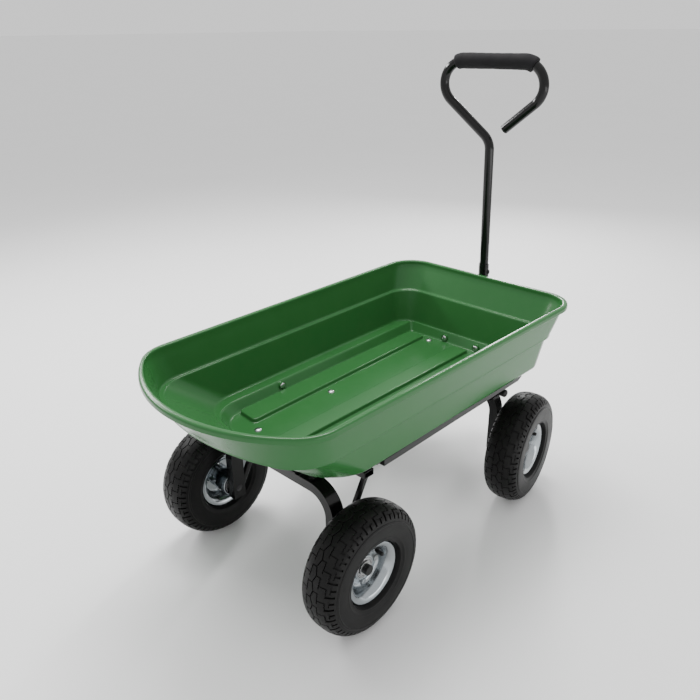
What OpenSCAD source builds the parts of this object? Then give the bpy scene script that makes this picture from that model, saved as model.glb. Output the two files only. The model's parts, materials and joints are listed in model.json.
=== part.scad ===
// Four-wheeled garden dump cart: moulded tray on a tipping frame, steered front arch,
// fold-down pull handle with a D-loop grip, and four pneumatic wheels.
// Units are millimetres. +X is forward, +Y is left, +Z is up.
// The origin is on the ground under the middle of the whole cart.

/* [Wheels] */
// Outer diameter of the pneumatic tyre
tyre_d = 260; // [250:1:266]
// Width of the tyre section
tyre_w = 85; // [80:1:88]
// Distance between the centre planes of the left and right wheels
track = 437; // [436:1:450]
// Distance from the rear axle to the kingpin
wheelbase = 527; // [520:1:540]
// Diameter of both axles
axle_d = 16; // [14:1:17]
// How far the front wheels and the handle are turned to the left
steer_angle = 8.6; // [-20:0.1:20]

/* [Tray] */
// Width over the rolled lip
tray_w = 504; // [500:1:508]
// Height of the rolled lip above the ground
rim_h = 470; // [466:1:480]
// Height of the tray floor above the ground
floor_h = 297; // [297:1:300]
// Distance from the rear axle back to the rear lip
rear_overhang = 231; // [225:1:240]
// Distance from the rear axle forward to the front lip
front_overhang = 703; // [700:1:706]
// Wall thickness of the tray
tray_wall = 3; // [2.5:0.1:4]

/* [Frame] */
// Fore-and-aft width of the arch tubes
bar_w = 30; // [28:1:32]
// Thickness of the arch tubes
bar_t = 20; // [18:1:20]
// Wall thickness of all square and rectangular tubes
bar_wall = 2; // [1.5:0.1:2.5]
// Height of the top of the arches above the ground
arch_h = 268; // [264:1:268]
// Distance from the middle to the outer face of an arch leg
arch_half = 161; // [155:1:161]
// Outer radius of the bends in the arches
arch_bend_r = 62; // [50:1:70]
// Height of the pivot pins that the tray tips about
tip_pin_h = 280; // [279:1:281]

/* [Handle] */
// Distance from the kingpin forward to the handle pivot
drawbar_reach = 229; // [225:1:240]
// Height of the handle pivot above the ground
pivot_h = 230; // [220:1:235]
// Lean of the parked handle back towards the tray
handle_lean = 3.25; // [2:0.05:4]
// Outer diameter of the upper handle tube
tube_d = 22; // [20:1:24]
// Outer diameter of the foam grip
grip_d = 35; // [30:1:40]
// Distance along the handle from its pivot to the middle of the grip
grip_v = 738.7; // [700:0.1:760]
// Half the width of the D-loop, to the tube's middle line
loop_half_w = 122; // [115:1:130]
// Radius of the two upper bends of the D-loop
loop_bend_r = 50; // [45:1:55]

/* [Hidden] */
$fn = 48;

axle_h = tyre_d / 2;
axle_r = axle_d / 2;
run_gap = 0.06;      // radial clearance of every running fit
slip_gap = 0.2;      // clearance of every bolt in its hole
inf = 1;             // overlap of cutting shapes past a face

// Overall length, which puts the origin in the middle
yoke_round_r = 14;
yoke_half_w = 18.5;
front_extent = wheelbase + (drawbar_reach + yoke_round_r) * cos(steer_angle)
    + yoke_half_w * sin(abs(steer_angle));
rear_x = (rear_overhang - front_extent) / 2;
kingpin_x = rear_x + wheelbase;

// Tray outlines from the lip down: half width, front x, rear x, front and rear corner radius, bow radius
tray_half = tray_w / 2;
taper = 6;                                   // the tray is this much narrower per side at the rear
side_bolt_taper = 4.7;                       // the same at the side bolts
lip_w = 9;
lip_drop = 12;
lip_out = [tray_half, front_overhang, -rear_overhang, 75, 90, 320];
wall_top = [tray_half - lip_w, front_overhang - lip_w, -rear_overhang + lip_w + 1, 68, 86, 330];
ledge_h = 400;
ledge_out = [232, 664, -182, 64, 93, 450];
ledge_in = [225, 658, -174, 60, 88, 460];
ledge_drop = 4;
shelf_h = 320;
shelf_out = [211, 640, -63, 48, 88, 500];
recess_top = [184, 637, -59, 10, 78, 500];
recess_low = [172, 624, -41, 9, 72, 500];
rib_h = 8;
rib_half = 24;
rib_rear_x = -12;
rib_front_x = 612;
side_rib_in = [102, 115];                    // inner edge of the side ribs at the rear and at the front
side_rib_out = [162, 166];                    // outer edge at the rear and at the front
side_rib_x = [20, 30];                       // rear end at the inner and at the outer edge

// Tipping frame under the tray
strap_h = 288;
strap_t = floor_h - tray_wall - strap_h;
strap_w = 20;
strap_x = [2, 617];
strip_x = 24;
strip_w = 22;
bend_y = 176;                                // where the ends of the cross bars turn up
strap_y = [77, 96];                          // middle of the straps at the rear and at the front bolts
bolt_x = [12, 230, 603];
rail_x = [80, 560];
rail_y = [184.5, 203];
rail_top = 316;
rail_low = 303;
cross_x = [90, 518];
cross_w = 30;
lug_y = 50;
lug_t = 12;
lug_r = 8;
pin_r = 5;
ear_t = 5;
ear_gap = 0.3;
bracket_t = 4;
bracket_gap = 0.3;
bracket_half_w = 112;
bracket_foot_x = 580;
side_bolt_x = 160;                           // bolts through the recess walls
side_bolt_z = 309;
front_bolt_y = [62, -34];
front_bolt_z = 306;
bolt_seat_r = 9;
bolt_head_r = 8;
bolt_head_h = 3.5;
nut_r = 7;
nut_h = 6;
// Seat planes that clear the lowest point of each seat, where the recess walls lean in most
side_seat_y = recess_low[0] + (recess_top[0] - recess_low[0]) * recess_lean(side_bolt_z - bolt_seat_r)
    - tray_wall - side_bolt_taper - 0.5;
front_seat_x = recess_low[1] + (recess_top[1] - recess_low[1]) * recess_lean(front_bolt_z - bolt_seat_r)
    - tray_wall - 0.5;

// Chassis tubes
spine_w = 30;
washer_t = 3;
spine_top = arch_h + washer_t;
spine_end_x = 495;
plate_t = 5;
plate_half_w = 30;
cross_tube_x = 72;
cross_tube_w = 26;
cross_tube_h = 14;
brace_w = 14;
brace_t = 10;
brace_foot_z = [axle_h - 10, axle_h + 16];
kingpin_r = 8;
kingpin_head_h = 6.5;

// Release latch under the right-hand side of the tray
latch_x = 466;
latch_z = 282.5;
latch_r = 5;
latch_end_y = 98;
hook_y = -37;
hook_t = 6;
hook_len = 34.5;
hook_tip = 6.3;
crank_t = 5;
keeper_x = 478;
keeper_z = 256.5;
keeper_r = 4;
knob_r = 9;
crank_len = 42;
crank_y = -178;
latch_hanger_y = 86;

// Wheel sections: r is the radius from the axle, w is the distance outboard of the wheel's middle
tyre_mid_r = 91.25;
tyre_b = axle_h - tyre_mid_r;
tyre_a = tyre_w / 2;
tyre_wall = 6;
tyre_squareness = 2.6;
bead_t = 66;                                 // angle at which the casing ends at the bead
bead_half_w = 25.5;
flange_clear_r = 66;
hub_r = 25;
hub_in = -55;
hub_out = 8.5;
seat_r = 20;
bearing_w = 12;
rim_pts = [[hub_r, 0], [44, 0], [48, 17], [53, 26], [64, 28.4], [64, 30.4], [51.5, 28.2], [46, 18.4],
    [42.4, 2], [hub_r, 2]];
rim_bolt_r = 4;
rim_bolt_pcr = 33.5;
axle_end = track / 2 + hub_out + 9;
washer_gap = 0.4;
axle_washer_r = 14;
axle_washer_t = 1.6;
axle_cap_r = 10;
axle_cap_len = 10;
valve_w = 12;
valve_r = 4.5;

// Handle path: the shaft, a bend, a slope, a bulb over the top and back down to the open end
slope = 50;
low_bend_r = 45;
socket_r = 13;
socket_len = 258;
socket_insert = 60;
socket_bore_r = tube_d / 2 + 0.1;
tube_wall = 1.6;
bulb_u = loop_half_w - loop_bend_r;
bulb_v = grip_v - loop_bend_r;
slope_top_u = bulb_u + loop_bend_r * cos(slope);
slope_top_v = bulb_v - loop_bend_r * sin(slope);
low_bend_u = low_bend_r * (1 - cos(slope));
slope_len = (slope_top_u - low_bend_u) / sin(slope);
low_bend_v = slope_top_v - slope_len * cos(slope) - low_bend_r * sin(slope);
open_len = 92;
grip_wrap = [21, 32];                        // how far the foam follows the left and right bends

// ---------- general shapes ----------

function signed_power(v, p) = sign(v) * pow(abs(v), p);

function arc_points(c, r, a0, a1, n) =
    [for (i = [0:n]) c + r * [cos(a0 + (a1 - a0) * i / n), sin(a0 + (a1 - a0) * i / n)]];

// How far up the sloping recess walls height z lies, from 0 at the floor to 1 at the shelf
function recess_lean(z) = (z - floor_h + tray_wall) / (shelf_h - floor_h);

// Outline of the tray at one level. The rear edge is a shallow bow between two rounded corners.
function tray_outline(o, inset = 0) =
    let(hw = o[0] - inset, xf = o[1] - inset, xr = o[2] + inset, rf = max(o[3] - inset, 2),
        rr = o[4] - inset, rb = o[5] - inset, hr = hw - taper,
        bow_x = xr + rb,
        cx = bow_x - sqrt(pow(rb - rr, 2) - pow(hr - rr, 2)),
        a = atan2(hr - rr, cx - bow_x))
    concat(arc_points([xf - rf, hw - rf], rf, 0, 90, 8),
        arc_points([cx, hr - rr], rr, 90, a, 8),
        arc_points([bow_x, 0], rb, a, 360 - a, 10),
        arc_points([cx, rr - hr], rr, 360 - a, 270, 8),
        arc_points([xf - rf, rf - hw], rf, 270, 360, 8));

module slab(o, z, h, inset = 0) {
    translate([rear_x, 0, z]) linear_extrude(h) polygon(tray_outline(o, inset));
}

// Tapered band of the tray between two outlines
module band(low, high, z0, z1, inset = 0) {
    skin = 0.01;
    hull() {
        slab(low, z0, skin, inset);
        slab(high, z1 - skin, skin, inset);
    }
}

module box_tube(l, w, h, t) {
    difference() {
        cube([l, w, h]);
        translate([-inf, t, t]) cube([l + 2 * inf, w - 2 * t, h - 2 * t]);
    }
}

// Round-headed bolt along +Z: the dome sits on z = 0 and the shank runs down
module dome_bolt(shank_r, shank_len, head_r, head_h) {
    rotate_extrude() polygon(concat([[0, 0]],
        [for (a = [0:15:90]) [head_r * cos(a), head_h * sin(a)]]));
    translate([0, 0, -shank_len]) cylinder(r = shank_r, h = shank_len);
}

module hex_nut(r, h, hole_r) {
    difference() {
        cylinder(r = r, h = h, $fn = 6);
        translate([0, 0, -inf]) cylinder(r = hole_r, h = h + 2 * inf);
    }
}

module ring(r_in, r_out, h) {
    difference() {
        cylinder(r = r_out, h = h);
        translate([0, 0, -inf]) cylinder(r = r_in, h = h + 2 * inf);
    }
}

module both_sides() {
    children();
    mirror([0, 1, 0]) children();
}

module at_rear() {
    translate([rear_x, 0, 0]) children();
}

module at_kingpin() {
    translate([kingpin_x, 0, 0]) rotate([0, 0, steer_angle]) children();
}

// Local Z runs up the handle from its pivot, and local Y points left
module at_handle() {
    at_kingpin() translate([drawbar_reach, 0, pivot_h]) rotate([0, -handle_lean, 0]) children();
}

// ---------- arches, braces and spine ----------

// Half of the arch's outline in the YZ plane, shrunk by inset, as seen from the front
module arch_outline(inset) {
    outer_r = arch_bend_r - inset;
    inner_r = arch_bend_r - bar_t + inset;
    cy = arch_half - arch_bend_r;
    cz = arch_h - arch_bend_r;
    leg_low = axle_h - 24 + inset;
    translate([-cy, cz + inner_r]) square([2 * cy, outer_r - inner_r]);
    for (s = [-1, 1]) {
        translate([s > 0 ? cy + inner_r : -cy - outer_r, leg_low])
            square([outer_r - inner_r, cz - leg_low]);
        intersection() {
            difference() {
                translate([s * cy, cz]) circle(r = outer_r);
                translate([s * cy, cz]) circle(r = inner_r);
            }
            translate([s > 0 ? cy : -cy - outer_r - inf, cz]) square([outer_r + inf, outer_r + inf]);
        }
    }
}

module arch_tube() {
    difference() {
        translate([-bar_w / 2, 0, 0]) rotate([90, 0, 90]) linear_extrude(bar_w) arch_outline(0);
        translate([-bar_w / 2 + bar_wall, 0, 0]) rotate([90, 0, 90])
            linear_extrude(bar_w - 2 * bar_wall) arch_outline(bar_wall);
        translate([0, arch_half + inf, axle_h]) rotate([90, 0, 0])
            cylinder(r = axle_r + 0.1, h = 2 * (arch_half + inf));
    }
}

module rear_arch() {
    color("dimgray") at_rear() arch_tube();
}

// Struts from the feet of the rear arch up and forward to the cross tube
module rear_braces() {
    top_z = spine_top - cross_tube_h;
    top_x = cross_tube_x + (cross_tube_w - brace_w) / 2;
    color("dimgray") at_rear() both_sides()
        translate([0, arch_half - (bar_t - brace_t) / 2, 0]) rotate([90, 0, 0]) linear_extrude(brace_t)
            polygon([[bar_w / 2, brace_foot_z[0]], [bar_w / 2, brace_foot_z[1]],
                [top_x, top_z], [top_x + brace_w, top_z]]);
}

module rear_crossmember() {
    side_len = arch_half - spine_w / 2;
    color("dimgray") at_rear() both_sides()
        translate([cross_tube_x + cross_tube_w, spine_w / 2, spine_top - cross_tube_h]) rotate([0, 0, 90])
            box_tube(side_len, cross_tube_w, cross_tube_h, bar_wall);
}

module backbone() {
    color("dimgray") at_rear() translate([bar_w / 2, -spine_w / 2, spine_top - spine_w])
        box_tube(spine_end_x - bar_w / 2, spine_w, spine_w, bar_wall);
}

module bolster_plate() {
    color("dimgray") at_rear() difference() {
        translate([420, -plate_half_w, spine_top]) cube([wheelbase + 30 - 420, 2 * plate_half_w, plate_t]);
        translate([wheelbase, 0, spine_top - inf]) cylinder(r = kingpin_r, h = plate_t + 2 * inf);
    }
}

// Two pairs of ears on top of the rear arch
module hinge_brackets() {
    base_t = 3;
    ear_in = lug_y - lug_t / 2 - ear_gap - ear_t;
    ear_out = lug_y + lug_t / 2 + ear_gap;
    color("dimgray") at_rear() both_sides() difference() {
        union() {
            translate([-bar_w / 2, ear_in, arch_h]) cube([bar_w, ear_out + ear_t - ear_in, base_t]);
            for (y = [ear_in, ear_out]) {
                translate([-lug_r, y, arch_h + base_t])
                    cube([2 * lug_r, ear_t, tip_pin_h - arch_h - base_t]);
                translate([0, y + ear_t, tip_pin_h]) rotate([90, 0, 0]) cylinder(r = lug_r, h = ear_t);
            }
        }
        translate([0, ear_out + ear_t + inf, tip_pin_h]) rotate([90, 0, 0])
            cylinder(r = pin_r, h = ear_out + ear_t - ear_in + 2 * inf);
    }
}

module hinge_pins() {
    pin_in = lug_y - lug_t / 2 - ear_gap - ear_t;
    pin_out = lug_y + lug_t / 2 + ear_gap + ear_t;
    color("silver") at_rear() both_sides() translate([0, pin_out, tip_pin_h]) rotate([-90, 0, 0]) {
        translate([0, 0, pin_in - pin_out - 2]) cylinder(r = pin_r, h = pin_out - pin_in + 2);
        cylinder(r = lug_r - 0.5, h = 3);
    }
}

// Carriage bolt with washer and nut that the front arch turns on
module kingpin() {
    washer_z = arch_h - bar_t - 0.3 - 2.5;
    washer_r = 15;
    nut_len = 12;
    color("silver") translate([kingpin_x, 0, 0]) {
        translate([0, 0, spine_top + plate_t])
            dome_bolt(kingpin_r, spine_top + plate_t - washer_z + nut_len + 7, washer_r, kingpin_head_h);
        translate([0, 0, washer_z]) ring(kingpin_r, washer_r, 2.5);
        translate([0, 0, washer_z - nut_len]) hex_nut(14, nut_len, kingpin_r);
    }
}

// Stub on the spine that the hook of the release lever reaches for
module latch_keeper() {
    color("silver") at_rear() translate([keeper_x, -spine_w / 2, keeper_z]) rotate([90, 0, 0])
        cylinder(r = keeper_r, h = 30);
}

// ---------- axles ----------

// A stub axle through each leg, flush with the leg's inner face
module axle_stubs() {
    stub_y = arch_half - bar_t;
    color("silver") both_sides() translate([0, stub_y, axle_h]) rotate([-90, 0, 0])
        cylinder(r = axle_r, h = axle_end - stub_y);
}

// One thin washer inside and one outside each hub
module axle_washers() {
    color("silver") both_sides() {
        translate([0, arch_half, axle_h]) rotate([-90, 0, 0])
            ring(axle_r, axle_washer_r, axle_washer_t);
        translate([0, track / 2 + hub_out + washer_gap, axle_h]) rotate([-90, 0, 0])
            ring(axle_r, axle_washer_r, axle_washer_t);
    }
}

// Push-on caps that hold the wheels on the axle
module axle_caps() {
    cap_start = track / 2 + hub_out + washer_gap + axle_washer_t;
    color("black") both_sides() translate([0, cap_start, axle_h]) rotate([-90, 0, 0]) difference() {
        cylinder(r = axle_cap_r, h = axle_cap_len);
        translate([0, 0, -inf]) cylinder(r = axle_r, h = axle_end - cap_start + inf);
    }
}

module rear_axle() {
    at_rear() axle_stubs();
}

module rear_axle_washers() {
    at_rear() axle_washers();
}

module rear_axle_caps() {
    at_rear() axle_caps();
}

module front_axle() {
    at_kingpin() axle_stubs();
}

module front_axle_washers() {
    at_kingpin() axle_washers();
}

module front_axle_caps() {
    at_kingpin() axle_caps();
}

// ---------- steered front end ----------

module front_arch() {
    color("dimgray") at_kingpin() difference() {
        arch_tube();
        translate([0, 0, arch_h - bar_t - inf]) cylinder(r = kingpin_r + run_gap, h = bar_t + 2 * inf);
    }
}

module thrust_washer() {
    color("silver") at_kingpin() translate([0, 0, arch_h]) ring(kingpin_r + run_gap, 25, washer_t - 0.2);
}

// Tongue and two side arms that carry the yoke of the handle
module drawbar() {
    back_x = drawbar_reach - yoke_round_r - 6;
    tongue_half = 12;
    ear_in = socket_r + 0.5;
    arm_z = axle_h + 34;
    arm_y = arch_half - bar_t / 2;
    color("dimgray") at_kingpin() difference() {
        union() {
            translate([0, tongue_half, 0]) rotate([90, 0, 0]) linear_extrude(2 * tongue_half)
                polygon([[bar_w / 2, arch_h - bar_t], [bar_w / 2, arch_h], [back_x, pivot_h + 16],
                    [back_x, pivot_h - 8]]);
            for (s = [-1, 1]) hull() {
                translate([bar_w / 2, s * arm_y - 5, arm_z - 12]) cube([4, 10, 24]);
                translate([back_x - 4, s * (tongue_half - 2) - 5, pivot_h - 15]) cube([4, 10, 10]);
            }
            translate([back_x, -yoke_half_w, pivot_h - 17]) cube([5, 2 * yoke_half_w, 34]);
            for (y = [-yoke_half_w, ear_in]) {
                translate([back_x, y, pivot_h - yoke_round_r])
                    cube([drawbar_reach - back_x, yoke_half_w - ear_in, 2 * yoke_round_r]);
                translate([drawbar_reach, y + yoke_half_w - ear_in, pivot_h]) rotate([90, 0, 0])
                    cylinder(r = yoke_round_r, h = yoke_half_w - ear_in);
            }
        }
        translate([drawbar_reach, yoke_half_w + inf, pivot_h]) rotate([90, 0, 0])
            cylinder(r = 6, h = 2 * (yoke_half_w + inf));
    }
}

module yoke_bolt() {
    color("silver") at_kingpin() translate([drawbar_reach, 0, pivot_h]) rotate([90, 0, 0]) {
        translate([0, 0, -yoke_half_w - 12]) cylinder(r = 6, h = 2 * yoke_half_w + 12);
        translate([0, 0, yoke_half_w]) cylinder(r = 10, h = 7, $fn = 6);
        translate([0, 0, -yoke_half_w - 9]) hex_nut(10, 9, 6);
    }
}

// ---------- handle ----------

// Lower tube with a solid foot on the pivot bolt and a bore for the upper tube
module handle_socket() {
    foot_len = 40;
    foot_below = 6;
    color("dimgray") at_handle() difference() {
        translate([0, 0, -foot_below]) cylinder(r = socket_r, h = socket_len + foot_below);
        translate([0, 0, foot_len]) cylinder(r = socket_bore_r, h = socket_len);
        translate([0, 30, 0]) rotate([90, 0, 0]) cylinder(r = 6 + run_gap, h = 60);
        translate([0, 0, socket_len - 22]) rotate([90, 0, 0]) cylinder(r = 3 + slip_gap, h = 30);
    }
}

// Straight length of tube from the origin along local Z
module tube_run(r, bore_r, l) {
    difference() {
        cylinder(r = r, h = l);
        translate([0, 0, -inf]) cylinder(r = bore_r, h = l + 2 * inf);
    }
}

// Bend of tube in the local YZ plane about [u, v], from angle a0 to a1 measured from +Y towards +Z
module tube_bend(r, bore_r, u, v, bend_r, a0, a1) {
    translate([0, u, v]) rotate([90, 0, 90]) rotate([0, 0, a0])
        rotate_extrude(angle = a1 - a0) translate([bend_r, 0]) difference() {
            circle(r = r);
            circle(r = bore_r);
        }
}

module handle_loop() {
    r = tube_d / 2;
    bore_r = r - tube_wall;
    start_v = socket_len - socket_insert;
    color("black") at_handle() {
        difference() {
            translate([0, 0, start_v]) tube_run(r, bore_r, low_bend_v - start_v);
            translate([0, 0, socket_len - 22]) rotate([90, 0, 0]) cylinder(r = 3 + slip_gap, h = 30);
        }
        tube_bend(r, bore_r, low_bend_r, low_bend_v, low_bend_r, 180 - slope, 180);
        translate([0, low_bend_u, low_bend_v + low_bend_r * sin(slope)]) rotate([-slope, 0, 0])
            tube_run(r, bore_r, slope_len);
        tube_bend(r, bore_r, bulb_u, bulb_v, loop_bend_r, -slope, 90);
        translate([0, bulb_u, grip_v]) rotate([90, 0, 0]) tube_run(r, bore_r, 2 * bulb_u);
        tube_bend(r, bore_r, -bulb_u, bulb_v, loop_bend_r, 90, 180 + slope);
        translate([0, -slope_top_u, slope_top_v]) rotate([180 + slope, 0, 0]) tube_run(r, bore_r, open_len);
    }
}

// Foam sleeve round the top of the loop
module handle_grip() {
    r = grip_d / 2;
    bore_r = tube_d / 2 + 0.1;
    color("dimgray") at_handle() {
        translate([0, bulb_u, grip_v]) rotate([90, 0, 0]) tube_run(r, bore_r, 2 * bulb_u);
        tube_bend(r, bore_r, bulb_u, bulb_v, loop_bend_r, 90 - grip_wrap[0], 90);
        tube_bend(r, bore_r, -bulb_u, bulb_v, loop_bend_r, 90, 90 + grip_wrap[1]);
    }
}

module handle_screw() {
    color("silver") at_handle() translate([0, -socket_r - 0.2, socket_len - 22]) rotate([90, 0, 0])
        dome_bolt(3, 6, 6, 3);
}

// ---------- tray and its tipping frame ----------

module floor_holes(r) {
    for (i = [0:2]) both_sides() translate([rear_x + bolt_x[i], bolt_y(bolt_x[i]), strap_h - 20])
        cylinder(r = r, h = 40);
}

function bolt_y(x) = strap_y[0] + (strap_y[1] - strap_y[0]) * (x - bolt_x[0]) / (bolt_x[2] - bolt_x[0]);

// Raised ribs moulded into the floor, one in the middle and one along each side
module floor_ribs() {
    translate([rear_x, 0, floor_h - 0.5]) linear_extrude(rib_h + 0.5) {
        translate([rib_rear_x, -rib_half]) square([rib_front_x - rib_rear_x, 2 * rib_half]);
        for (s = [-1, 1]) polygon([[side_rib_x[0], s * side_rib_in[0]], [rib_front_x, s * side_rib_in[1]],
            [rib_front_x, s * side_rib_out[1]], [side_rib_x[1], s * side_rib_out[0]]]);
    }
}

module wall_holes(r) {
    reach = 60;
    both_sides() translate([rear_x + side_bolt_x, rail_y[1] - 2, side_bolt_z])
        rotate([90, 0, 0]) cylinder(r = r, h = reach);
    for (y = front_bolt_y) translate([rear_x + recess_top[1] - reach / 2, y, front_bolt_z])
        rotate([0, 90, 0]) cylinder(r = r, h = reach);
}

// Flat seats moulded on the sloping recess walls under the heads of the wall bolts
module bolt_seats() {
    depth = 20;
    both_sides() translate([rear_x + side_bolt_x, side_seat_y, side_bolt_z])
        rotate([-90, 0, 0]) cylinder(r = bolt_seat_r, h = depth);
    for (y = front_bolt_y) translate([rear_x + front_seat_x, y, front_bolt_z])
        rotate([0, 90, 0]) cylinder(r = bolt_seat_r, h = depth);
}

module tray() {
    color("forestgreen") difference() {
        union() {
            slab(lip_out, rim_h - lip_drop, lip_drop);
            band(ledge_out, wall_top, ledge_h, rim_h - lip_drop);
            slab(ledge_out, ledge_h - ledge_drop, ledge_drop);
            band(shelf_out, ledge_in, shelf_h - tray_wall, ledge_h - ledge_drop);
            band(recess_low, recess_top, floor_h - tray_wall, shelf_h - tray_wall);
        }
        slab(wall_top, rim_h - lip_drop - inf, lip_drop + 2 * inf, tray_wall);
        difference() {
            slab(lip_out, rim_h - lip_drop - inf, lip_drop - tray_wall + inf, tray_wall);
            slab(wall_top, rim_h - lip_drop - inf, lip_drop + inf);
        }
        band(ledge_out, wall_top, ledge_h, rim_h - lip_drop, tray_wall);
        slab(ledge_in, ledge_h - ledge_drop - inf, ledge_drop + 2 * inf, tray_wall);
        band(shelf_out, ledge_in, shelf_h, ledge_h - ledge_drop, tray_wall);
        difference() {
            band(recess_low, recess_top, floor_h, shelf_h + inf, tray_wall);
            floor_ribs();
            bolt_seats();
        }
        floor_holes(rim_bolt_r + slip_gap);
        wall_holes(rim_bolt_r + slip_gap);
    }
}

// Cross bar of the tipping frame with its ends bent up to the rails, as a section in the YZ plane
module cross_bar() {
    weld_y = rail_y[0] + 5;
    rotate([90, 0, 90]) linear_extrude(cross_w) {
        translate([-bend_y, strap_h]) square([2 * bend_y, strap_t]);
        for (s = [-1, 1]) polygon([[s * (bend_y - 1), strap_h], [s * bend_y, strap_h],
            [s * weld_y, rail_low], [s * weld_y, rail_low + 1], [s * rail_y[0], rail_low + 1],
            [s * (bend_y - 2), strap_h + strap_t], [s * (bend_y - 3), strap_h + strap_t]]);
    }
}

module side_strap() {
    linear_extrude(strap_t) polygon([[strap_x[0], strap_y[0] - strap_w / 2],
        [strap_x[1], strap_y[1] - strap_w / 2], [strap_x[1], strap_y[1] + strap_w / 2],
        [strap_x[0], strap_y[0] + strap_w / 2]]);
}

module side_rail() {
    translate([0, rail_y[1], 0]) rotate([90, 0, 0]) linear_extrude(rail_y[1] - rail_y[0])
        polygon([[rail_x[0], rail_low], [rail_x[1] - 14, rail_low], [rail_x[1], rail_top - 6],
            [rail_x[1], rail_top], [rail_x[0], rail_top]]);
}

// Lug on a hinge pin, welded under the rear cross strip
module hinge_lug() {
    translate([0, lug_y + lug_t / 2, 0]) rotate([90, 0, 0]) linear_extrude(lug_t) {
        polygon([[0, tip_pin_h - lug_r], [lug_r, tip_pin_h - lug_r],
            [strip_x + strip_w, strap_h], [strip_x + strip_w, strap_h + strap_t],
            [strip_x, strap_h + strap_t], [0, tip_pin_h + lug_r]]);
        translate([0, tip_pin_h]) circle(r = lug_r);
    }
}

// Straps, cross bars, side rails and hinge lugs, welded together
module tray_frame() {
    hanger = 9;
    color("dimgray") difference() {
        at_rear() {
            for (x = cross_x) translate([x, 0, 0]) cross_bar();
            translate([strip_x, -strap_y[0], strap_h]) cube([strip_w, 2 * strap_y[0], strap_t]);
            both_sides() {
                translate([0, 0, strap_h]) side_strap();
                side_rail();
                hinge_lug();
                translate([latch_x - hanger, latch_hanger_y, latch_z - hanger])
                    cube([2 * hanger, 6, strap_h - latch_z + hanger]);
            }
        }
        translate([rear_x, 2 * lug_y, tip_pin_h]) rotate([90, 0, 0])
            cylinder(r = pin_r + run_gap, h = 4 * lug_y);
        translate([rear_x + latch_x, 120, latch_z]) rotate([90, 0, 0])
            cylinder(r = latch_r + run_gap, h = 240);
        floor_holes(rim_bolt_r + slip_gap);
        wall_holes(rim_bolt_r + slip_gap);
    }
}

// Dome-headed bolts through the floor with nuts under the straps
module floor_bolts() {
    color("silver") at_rear() for (i = [0:2]) both_sides() translate([bolt_x[i], bolt_y(bolt_x[i]), 0]) {
        translate([0, 0, floor_h]) dome_bolt(rim_bolt_r, floor_h - strap_h + 9, bolt_head_r, bolt_head_h);
        translate([0, 0, strap_h - nut_h]) hex_nut(nut_r, nut_h, rim_bolt_r);
    }
}

// Dome-headed bolts on the seats: the side ones screw into the rails, the front ones have nuts
module wall_bolts() {
    side_bolt_len = rail_y[1] - 2.5 - side_seat_y;
    front_nut_x = recess_top[1] + bracket_gap + bracket_t + 0.1;
    color("silver") at_rear() {
        both_sides() translate([side_bolt_x, side_seat_y, side_bolt_z]) rotate([90, 0, 0])
            dome_bolt(rim_bolt_r, side_bolt_len, bolt_head_r, bolt_head_h);
        for (y = front_bolt_y) translate([front_seat_x, y, front_bolt_z]) rotate([0, -90, 0]) {
            dome_bolt(rim_bolt_r, front_nut_x + nut_h + 2 - front_seat_x, bolt_head_r, bolt_head_h);
            translate([0, 0, front_seat_x - front_nut_x - nut_h]) hex_nut(nut_r, nut_h, rim_bolt_r);
        }
    }
}

// Upright plate behind the front wall of the recess, on a foot under the straps
module front_bracket() {
    plate_x = recess_top[1] + bracket_gap;
    color("dimgray") difference() {
        at_rear() {
            translate([plate_x, -bracket_half_w, strap_h - bracket_t])
                cube([bracket_t, 2 * bracket_half_w, shelf_h - tray_wall - strap_h + bracket_t - 1]);
            translate([bracket_foot_x, -bracket_half_w, strap_h - bracket_t])
                cube([plate_x - bracket_foot_x + 1, 2 * bracket_half_w, bracket_t]);
        }
        floor_holes(rim_bolt_r + slip_gap);
        wall_holes(rim_bolt_r + slip_gap);
        both_sides() translate([rear_x + bolt_x[2], bolt_y(bolt_x[2]), strap_h - nut_h - 2])
            cylinder(r = nut_r + 2, h = nut_h + 2);
    }
}

// ---------- release latch ----------

// Cross shaft with a hook at the spine and a crank at the right-hand rail
module release_lever() {
    color("dimgray") at_rear() {
        translate([latch_x, latch_end_y, latch_z]) rotate([90, 0, 0])
            cylinder(r = latch_r, h = latch_end_y - crank_y);
        translate([latch_x, hook_y + hook_t / 2, latch_z]) rotate([90, 0, 0]) linear_extrude(hook_t)
            polygon([[-6, 0], [-6, -hook_len], [hook_tip, -hook_len], [hook_tip, 4 - hook_len],
                [2, 4 - hook_len], [2, 0]]);
        translate([latch_x, crank_y, latch_z]) rotate([90, 0, 0]) linear_extrude(crank_t)
            polygon([[-7, -6], [crank_len, -5], [crank_len, 4], [-7, 6]]);
    }
}

module release_knob() {
    knob_x = latch_x + crank_len;
    knob_len = 11;
    color("black") at_rear() translate([knob_x, crank_y - crank_t, latch_z]) rotate([90, 0, 0]) {
        cylinder(r = knob_r, h = knob_len);
        translate([0, 0, knob_len]) rotate_extrude()
            polygon(concat([[0, 0]], [for (a = [0:15:90]) [knob_r * cos(a), 5 * sin(a)]]));
    }
}

// Coil of the return spring round the cross shaft
module latch_spring() {
    wire_r = 0.9;
    coils = 6;
    first_coil = 50;
    color("silver") at_rear() translate([latch_x, 0, latch_z]) rotate([90, 0, 0]) for (i = [0:coils - 1])
        translate([0, 0, first_coil + 2 * wire_r * i]) rotate_extrude()
            translate([latch_r + 0.2 + wire_r, 0]) circle(r = wire_r, $fn = 16);
}

// ---------- wheels ----------

function casing_point(a, b, t) =
    let(r = tyre_mid_r + b * signed_power(sin(t), 2 / tyre_squareness),
        w = a * signed_power(cos(t), 2 / tyre_squareness))
    r < flange_clear_r ? [r, sign(w) * min(abs(w), bead_half_w)] : [r, w];

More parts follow.
